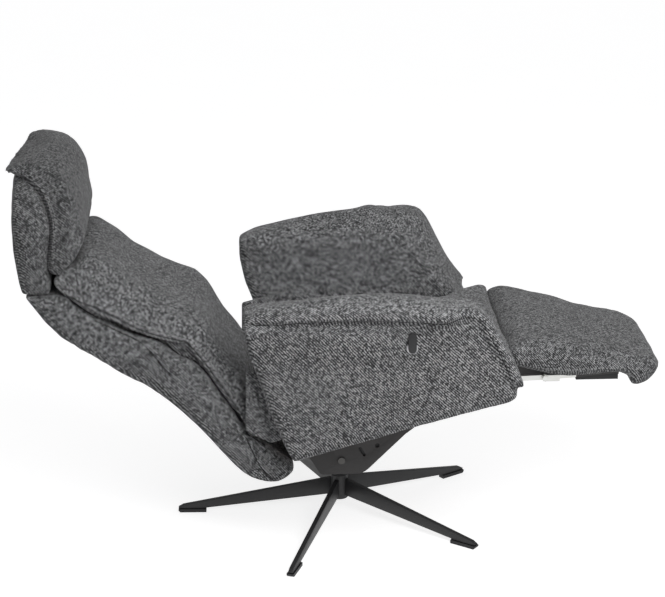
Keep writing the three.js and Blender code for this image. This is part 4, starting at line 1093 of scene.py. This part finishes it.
class RECLINER_OT_base(bpy.types.Operator):
    """Finishes the star base and the tilt bracket."""

    bl_idname = "recliner.base"
    bl_label = "Star base and bracket"

    def execute(self, context):
        metal = metal_of(context)
        coat = powder_coat("star_coat", metal.coat)
        rubber = moulded("glide_plastic", metal.plastic)
        steel = powder_coat("bracket_coat", metal.bracket, roughness=0.5)
        for leg in range(1, 6):
            arm = hard_edges(f"leg_{leg}", f"star_leg_{leg}", metal.eased)
            arm.data.materials.append(coat)
            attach(arm, "base")
            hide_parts(f"star_leg_{leg}")
            paint(f"foot_glide_{leg}", rubber)
        for node in ("base_hub", "swivel_spindle"):
            paint(node, coat)
        paint("swivel_bush", rubber)
        for side in ("left", "right"):
            plate = hard_edges(f"bracket_{side}", f"carrier_side_{side}", metal.eased)
            plate.data.materials.append(steel)
            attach(plate, "carrier")
            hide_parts(f"carrier_side_{side}")
            self.make_lining(side, rubber)
        paint("carrier_pan", steel)
        dark_bolt = plated("bolt_black", metal.bolt, roughness=0.35, grain=8)
        for node in ("tilt_axle", "spacer_bolt", "guide_pin"):
            paint(node, dark_bolt)
        return {"FINISHED"}

    def make_lining(self, side, plastic):
        """The plastic strip behind the slot and the sight hole of a bracket side."""
        work = bmesh.new()
        turn = Matrix.Rotation(math.radians(-LINING_LEAN), 4, "Y")
        across = LINING_INSET if side == "left" else -LINING_INSET
        shape = Matrix.Diagonal((*LINING_SIZE, 1))
        placed = Matrix.Translation((LINING_PLACE[0], across, LINING_PLACE[1])) @ turn @ shape
        bmesh.ops.create_cube(work, size=1, matrix=placed)
        bmesh.ops.bevel(
            work,
            geom=work.edges[:],
            offset=LINING_SIZE[1] / 4,
            segments=2,
            profile=0.5,
            affect="EDGES",
            material=-1,
        )
        strip = made(f"lining_{side}", work)
        smooth_by_angle(strip, CRISP_OTHER)
        strip.data.materials.append(plastic)
        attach(strip, "carrier")


class RECLINER_OT_frame(bpy.types.Operator):
    """Finishes the steel, the boards and the gas spring inside."""

    bl_idname = "recliner.inner_frame"
    bl_label = "Inner frame"

    coated = (
        "seat_rail_left", "seat_rail_right", "front_cross_tube", "arm_bar_front", "arm_bar_rear",
        "back_hinge_bar", "back_frame", "headrest_hinge_rod", "head_bracket", "cam_plate_left",
        "cam_plate_right", "gas_spring_anchor", "gas_spring_cylinder", "leg_rest_arm_left",
        "leg_rest_arm_right",
    )
    zinced = (
        "arm_bolt_front_left", "arm_bolt_front_right", "arm_bolt_rear_left", "arm_bolt_rear_right",
        "leg_rest_axle", "leg_rest_bracket_left", "leg_rest_bracket_right", "push_link_left",
        "push_link_right",
    )

    def execute(self, context):
        metal = metal_of(context)
        steel = powder_coat("frame_coat", metal.bracket, roughness=0.5)
        zinc = plated("link_zinc", metal.zinc, roughness=0.25, grain=0.3)
        board = veneer("plywood", metal.wood)
        for node in self.coated:
            paint(node, steel)
        for node in self.zinced:
            paint(node, zinc)
        paint("seat_platform", board)
        for node in ("leg_rest_board", "leg_rest_stiffener"):
            paint(node, moulded(f"{node}_plastic", metal.plastic))
        chrome = plated("rod_chrome", metal.chrome, roughness=0.08, grain=6)
        paint("gas_spring_rod", chrome)
        return {"FINISHED"}


class RECLINER_OT_seat(bpy.types.Operator):
    """Upholsters the seat."""

    bl_idname = "recliner.seat"
    bl_label = "Seat cushion"

    def execute(self, context):
        cloth = cloth_of(context)
        cushion = quilted("seat_cover", ["seat_cushion"], cloth)
        inflate(cushion, pressure=4, most=0.010)
        finer(cushion)
        reshape(cushion, self.nosed)
        rumple(cushion, height=0.0012, scale=14)
        fabric = tweed("seat_tweed", cloth)
        upholstered(cushion, "seat", ["seat_cushion"], fabric)
        for side in (-1, 1):
            self.make_side(side, fabric)
        return {"FINISHED"}

    def nosed(self, place):
        """The seat's front is fuller, and meets the leg rest."""
        rise = NOSE_RISE * blend(place.x, *NOSE_RISE_X) * blend(place.z, *NOSE_RISE_Z)
        forward = NOSE_REACH * blend(place.x, *NOSE_REACH_X) * blend(place.z, *NOSE_REACH_Z)
        return (forward, 0, rise)

    def make_side(self, side, fabric):
        """The upholstered side of the seat, between the cushion and the arm."""
        work = bmesh.new()
        corners = [work.verts.new((x, side * SEAT_SIDE[0], z)) for x, z in SEAT_SIDE_OUTLINE]
        near = work.faces.new(corners)
        grown = bmesh.ops.extrude_face_region(work, geom=[near])["geom"]
        far = [part for part in grown if isinstance(part, bmesh.types.BMVert)]
        thickness = Vector((0, side * (SEAT_SIDE[1] - SEAT_SIDE[0]), 0))
        bmesh.ops.translate(work, verts=far, vec=thickness)
        panel = made(f"seat_side_{'left' if side > 0 else 'right'}", work)
        rounder = panel.modifiers.new("Round", "BEVEL")
        rounder.width = (SEAT_SIDE[1] - SEAT_SIDE[0]) * SEAT_SIDE_ROUND
        rounder.segments = 3
        keep_modifiers(panel)
        smooth_by_angle(panel, CRISP_OTHER)
        panel.data.materials.append(fabric)
        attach(panel, "seat")


class RECLINER_OT_back(bpy.types.Operator):
    """Upholsters the back: its shell and its cushion."""

    bl_idname = "recliner.back"
    bl_label = "Back"

    def execute(self, context):
        cloth = cloth_of(context)
        # The back's cloth is a darker copy of the tweed: painted shade
        fabric = tweed("back_tweed", cloth, painted_shade_share=0.92)
        shell = quilted("back_cover", ["back_shell"], cloth, voxel=FINE_MESH, evened=4)
        inflate(shell, pressure=2, most=0.004, bending=2)
        finer(shell)
        rumple(shell, height=0.0012, scale=12)
        upholstered(shell, "back", ["back_shell"], fabric)
        creases = [
            self.line_across(line, side * SHELL_SIDE, cloth)
            for line in (SHELL_SEAM, SHELL_CREASE, SHELL_FOLD)
            for side in (-1, 1)
        ]
        # The dark cords along the shell's seams, creases and folds are painted shade
        seams("shell_seam_shade", shell, creases, cloth, "back", depth=0.001, rise=0.0)
        self.make_cushion(cloth, fabric)
        return {"FINISHED"}

    def line_across(self, line, across, cloth):
        """A smooth line through the points of a side view, this far from the middle."""
        return curve_through([BACK.at(along, out, across) for along, out in line], cloth.stitch)

    def make_cushion(self, cloth, fabric):
        """The back cushion: a topstitched edge, with the side tucked in under it."""
        cushion = quilted("back_pad", ["back_cushion"], cloth, voxel=FINE_MESH, evened=4)
        inflate(cushion, pressure=4, most=0.006)
        finer(cushion)
        reshape(cushion, self.filled)
        reshape(cushion, self.tucked)
        rumple(cushion, height=0.0016, scale=16)
        edges = [self.line_across(BACK_EDGE, side * BACK_EDGE_HALF, cloth) for side in (-1, 1)]
        rows = []
        for side, edge in zip((-1, 1), edges):
            laid = laid_on(edge, cushion)
            rows += [offset_line(laid, side * distance) for distance in BACK_ROWS]
        rows = [laid_on([point for point, _ in row], cushion) for row in rows]
        # The dark cords along the cushion's edge seams are painted shade
        seams("back_pad_edge_shade", cushion, edges, cloth, "back", depth=0.002)
        stitches("back_pad_stitches", rows, cloth, "back", thread("back_thread", cloth))
        upholstered(cushion, "back", ["back_cushion"], fabric)

    def filled(self, place):
        """The middle stands out, and the upper end reaches towards the head."""
        along, out = BACK.split(place)
        above = blend(out - height_at(BACK_EDGE, along), *CROWN_ABOVE_EDGE)
        middle = blend(abs(place.y), *CROWN_ACROSS)
        crown = CROWN * above * middle * blend(along, *CROWN_ALONG)
        low = blend(out, *REACH_LOW_OUT)
        reach = (REACH + REACH_LOW * low) * blend(along, *REACH_ALONG)
        return BACK.move(reach, crown)

    def tucked(self, place):
        """The side is drawn in under its edge, up to the cushion's end."""
        along, out = BACK.split(place)
        below = height_at(BACK_EDGE, along) - out
        near_side = blend(abs(place.y), *TUCK_ACROSS)
        closed = blend(along, *TUCK_END_ALONG)
        drawn = TUCK * blend(below, *TUCK_UNDER_EDGE) * near_side * (1 - closed)
        return (0, -math.copysign(drawn, place.y), 0)


class RECLINER_OT_headrest(bpy.types.Operator):
    """Upholsters the headrest."""

    bl_idname = "recliner.headrest"
    bl_label = "Headrest"

    def execute(self, context):
        cloth = cloth_of(context)
        # The head shell's cloth is a darker copy of the tweed: painted shade
        fabric = tweed("head_tweed", cloth, painted_shade_share=0.78)
        shell = quilted("head_cover", ["head_shell"], cloth, voxel=FINE_MESH)
        inflate(shell, pressure=2, most=0.004, bending=2)
        finer(shell)
        reshape(shell, self.lowered)
        upholstered(shell, "headrest", ["head_shell"], fabric)
        pad = quilted("head_cushion", ["head_pad"], cloth)
        inflate(pad, pressure=4, most=0.007)
        finer(pad)
        reshape(pad, self.slanted)
        reshape(pad, self.rounded)
        rumple(pad, height=0.0015, scale=18)
        push_out(pad, self.gathered)
        rows = []
        for side in (-1, 1):
            for inward in HEAD_ROWS:
                rise = inward / HEAD_ROW_LEAN
                edge = [Vector((x + inward, side * HEAD_SIDE, z + rise)) for x, z in HEAD_EDGE]
                rows.append(laid_on(curve_through(edge, cloth.stitch), pad))
        stitches("head_stitches", rows, cloth, "headrest", thread("head_thread", cloth))
        # The head pad's cloth is a still darker copy of the tweed: painted shade
        pad_fabric = tweed("head_pad_tweed", cloth, painted_shade_share=0.68)
        upholstered(pad, "headrest", ["head_pad"], pad_fabric)
        return {"FINISHED"}

    def lowered(self, place):
        """The shell's lower end reaches down to the back."""
        return (0, 0, -HEAD_SHELL_DROP * blend(place.z, *HEAD_SHELL_DROP_Z))

    def slanted(self, place):
        """The pad's lower front rests on the back cushion's end."""
        limit = HEAD_FRONT[0] + (place.z - HEAD_FRONT[1]) * HEAD_FRONT_SLOPE
        inward = HEAD_FRONT_SHARE * max(place.x - limit, 0) * blend(place.z, *HEAD_FRONT_Z)
        from_middle = (place.z - HEAD_FLAT_MIDDLE) / HEAD_FLAT_WIDTH
        flatter = HEAD_FLAT * math.exp(-(from_middle**2)) * blend(place.x, *HEAD_FLAT_X)
        low = blend(place.z, *HEAD_FOOT_Z)
        return (-inward - flatter - HEAD_FOOT_BACK * low, 0, HEAD_FOOT_RISE * low)

    def rounded(self, place):
        """The top falls off towards the rear, where the wrap's tip reaches further back."""
        behind = max(HEAD_TOP[0] - place.x, 0)
        fall = HEAD_TOP_SLOPE * (math.hypot(behind, HEAD_TOP_ROUND) - HEAD_TOP_ROUND)
        over = max(place.z - (HEAD_TOP[1] - fall), 0)
        rear_top = blend(place.x, *HEAD_TIP_X) * blend(place.z, *HEAD_TIP_Z)
        tip = (HEAD_TIP - HEAD_TIP_SLANT * blend(place.y, *HEAD_TIP_Y)) * rear_top
        return (-tip, 0, -over)

    def gathered(self, place):
        """Small gathers along the top's rear edge."""
        edge = blend(place.x, *GATHERS_X) * blend(place.z, *GATHERS_Z)
        return GATHERS * edge * noise.noise(place * GATHERS_SCALE)


class RECLINER_OT_arms(bpy.types.Operator):
    """Upholsters both arms."""

    bl_idname = "recliner.arms"
    bl_label = "Arms"

    def execute(self, context):
        cloth = cloth_of(context)
        fabric = tweed("arm_tweed", cloth)
        for side, name in ((1, "left"), (-1, "right")):
            nodes = [f"arm_panel_{name}", f"arm_pad_{name}"]
            arm = quilted(f"arm_{name}", nodes, cloth, voxel=FINE_MESH, swell=0.0006, evened=9)
            inflate(arm, pressure=2, most=0.003, bending=2)
            finer(arm)
            reshape(arm, self.set_back)
            reshape(arm, self.hollowed)
            rumple(arm, height=0.0010, scale=12)
            seam = curve_through([self.outside(x, z, side) for x, z in ARM_SEAM], cloth.stitch)
            # The dark cord along the arm's seam is painted shade
            seams(f"arm_seam_shade_{name}", arm, [seam], cloth, "seat")
            upholstered(arm, "seat", nodes, fabric)
        return {"FINISHED"}

    def outside(self, x, z, side):
        """A place on the outer face of an arm."""
        return Vector((x, side * height_at([ARM_REAR, ARM_FRONT], x), z))

    def set_back(self, place):
        """The arm's front is square to its splayed side, and its top is arched both ways."""
        along, across = place.x, abs(place.y)
        far = blend(place.y, *FAR_SIDE_Y)
        inward = ARM_FRONT[1] - across
        far_side = ARM_FAR_BACK * far * blend(place.z, *ARM_FAR_BACK_Z)
        back = (inward * ARM_SQUARED + far_side) * blend(along, *ARM_SQUARED_X)
        outer = max(ARM_ARCH - ARM_ARCH_FALL * along**2, ARM_ARCH_LEAST)
        outer -= ARM_REAR_DROP * blend(along, *ARM_REAR_DROP_X)
        outer += ARM_FAR_RISE * blend(along, *ARM_FAR_RISE_X) * far
        inner = -ARM_INNER_DROP - ARM_INNER_SLOPE * along - ARM_INNER_FALL * along**2
        share = blend(across, *ARM_OUTER_HALF_Y)
        rise = (outer * share + inner * (1 - share)) * blend(place.z, *ARM_TOP_Z)
        rear = ARM_LEAN * blend(along, *ARM_LEAN_X) * blend(place.z, *ARM_LEAN_Z)
        return (-back - rear, 0, rise)

    def hollowed(self, place):
        """The outer face goes in under the seam, and the band above it stands out."""
        from_face = height_at([ARM_REAR, ARM_FRONT], place.x) - abs(place.y)
        outer_face = 1 - blend(from_face, *ARM_FACE_DEPTH)
        under = height_at(ARM_SEAM, place.x) - place.z
        hollow = ARM_HOLLOW * blend(under, *ARM_HOLLOW_START)
        hollow *= 1 - blend(under, *ARM_HOLLOW_STOP)
        hollow *= 1 - blend(place.x, *ARM_HOLLOW_STOP_X)
        swell = ARM_SWELL * blend(under, *ARM_SWELL_START)
        swell *= 1 - blend(under, *ARM_SWELL_STOP)
        swell *= 1 - blend(place.x, *ARM_SWELL_STOP_X)
        return (0, math.copysign((swell - hollow) * outer_face, place.y), 0)


class RECLINER_OT_leg_rest(bpy.types.Operator):
    """Upholsters the leg rest."""

    bl_idname = "recliner.leg_rest"
    bl_label = "Leg rest"

    def execute(self, context):
        cloth = cloth_of(context)
        pad = quilted("leg_rest_pad", ["leg_rest_cushion"], cloth)
        inflate(pad, pressure=4, most=0.008)
        finer(pad)
        reshape(pad, self.folded)
        rumple(pad, height=0.0018, scale=20)
        hems = []
        for side in (-1, 1):
            for lift in LEG_ROWS:
                edge = [Vector((x, side * LEG_SIDE, z + lift)) for x, z in LEG_HEM]
                hems.append(laid_on(curve_through(edge, cloth.stitch), pad))
        stitches("leg_stitches", hems, cloth, "leg_rest", thread("leg_thread", cloth))
        # The leg rest's cloth is a darker copy of the tweed: painted shade
        fabric = tweed("leg_tweed", cloth, painted_shade_share=0.86)
        upholstered(pad, "leg_rest", ["leg_rest_cushion"], fabric)
        return {"FINISHED"}

    def folded(self, place):
        """Fuller towards the seat, longer at both ends and folded down at the outer one."""
        along, out = LEG.split(place)
        full = LEG_FULL * (1 - blend(along, *LEG_FULL_STOP))
        drop = LEG_START_DROP * (1 - blend(along, *LEG_START_DROP_STOP))
        upper = (full - drop) * blend(out, *LEG_UPPER_OUT)
        longer = LEG_LONGER * blend(along, *LEG_LONGER_ALONG)
        nearer = LEG_NEARER * blend(along, *LEG_NEARER_ALONG)
        fold = LEG_FOLD * blend(along, *LEG_FOLD_ALONG) * blend(out, *LEG_FOLD_OUT)
        return LEG.move(longer - nearer, upper - fold)


class RECLINER_OT_lever(bpy.types.Operator):
    """Makes the release lever and its rosette."""

    bl_idname = "recliner.lever"
    bl_label = "Release lever"

    def execute(self, context):
        metal = metal_of(context)
        ring = plated("rosette_chrome", metal.rosette, roughness=0.2, grain=2)
        paint("lever_rosette", ring)
        width = metal.eased * 2
        paddle = hard_edges("lever_paddle", "release_lever", width, segments=3, angle=25)
        paddle.data.materials.append(moulded("lever_plastic", metal.plastic, roughness=0.3))
        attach(paddle, "lever")
        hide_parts("release_lever")
        return {"FINISHED"}


class RECLINER_PT_panel(bpy.types.Panel):
    """The chair's makers and settings, in the sidebar."""

    bl_idname = "RECLINER_PT_panel"
    bl_label = "Recliner"
    bl_space_type = "VIEW_3D"
    bl_region_type = "UI"
    bl_category = "Recliner"

    def draw(self, context):
        """Lists the makers, then each group's settings."""
        layout = self.layout
        for maker in MAKERS:
            layout.operator(maker.bl_idname)
        for group in GROUPS:
            settings = getattr(context.scene, group)
            box = layout.box()
            box.label(text=settings.__doc__)
            for name in settings.__annotations__:
                box.prop(settings, name)


MAKERS = (
    RECLINER_OT_stage,
    RECLINER_OT_base,
    RECLINER_OT_frame,
    RECLINER_OT_seat,
    RECLINER_OT_back,
    RECLINER_OT_headrest,
    RECLINER_OT_arms,
    RECLINER_OT_leg_rest,
    RECLINER_OT_lever,
)
GROUPS = {
    "recliner_cloth": ReclinerCloth,
    "recliner_metal": ReclinerMetal,
    "recliner_stage": ReclinerStage,
}


def register():
    """Adds the classes and their settings to the scene."""
    for group in GROUPS.values():
        bpy.utils.register_class(group)
    for maker in MAKERS:
        bpy.utils.register_class(maker)
    bpy.utils.register_class(RECLINER_PT_panel)
    for name, group in GROUPS.items():
        setattr(bpy.types.Scene, name, PointerProperty(type=group))


def unregister():
    """Takes them away again."""
    for name in GROUPS:
        delattr(bpy.types.Scene, name)
    bpy.utils.unregister_class(RECLINER_PT_panel)
    for maker in reversed(MAKERS):
        bpy.utils.unregister_class(maker)
    for group in reversed(GROUPS.values()):
        bpy.utils.unregister_class(group)


def main():
    """Registers the makers and runs them in order."""
    register()
    bpy.ops.recliner.stage()
    bpy.ops.recliner.base()
    bpy.ops.recliner.inner_frame()
    bpy.ops.recliner.seat()
    bpy.ops.recliner.back()
    bpy.ops.recliner.headrest()
    bpy.ops.recliner.arms()
    bpy.ops.recliner.leg_rest()
    bpy.ops.recliner.lever()


if __name__ == "__main__":
    main()
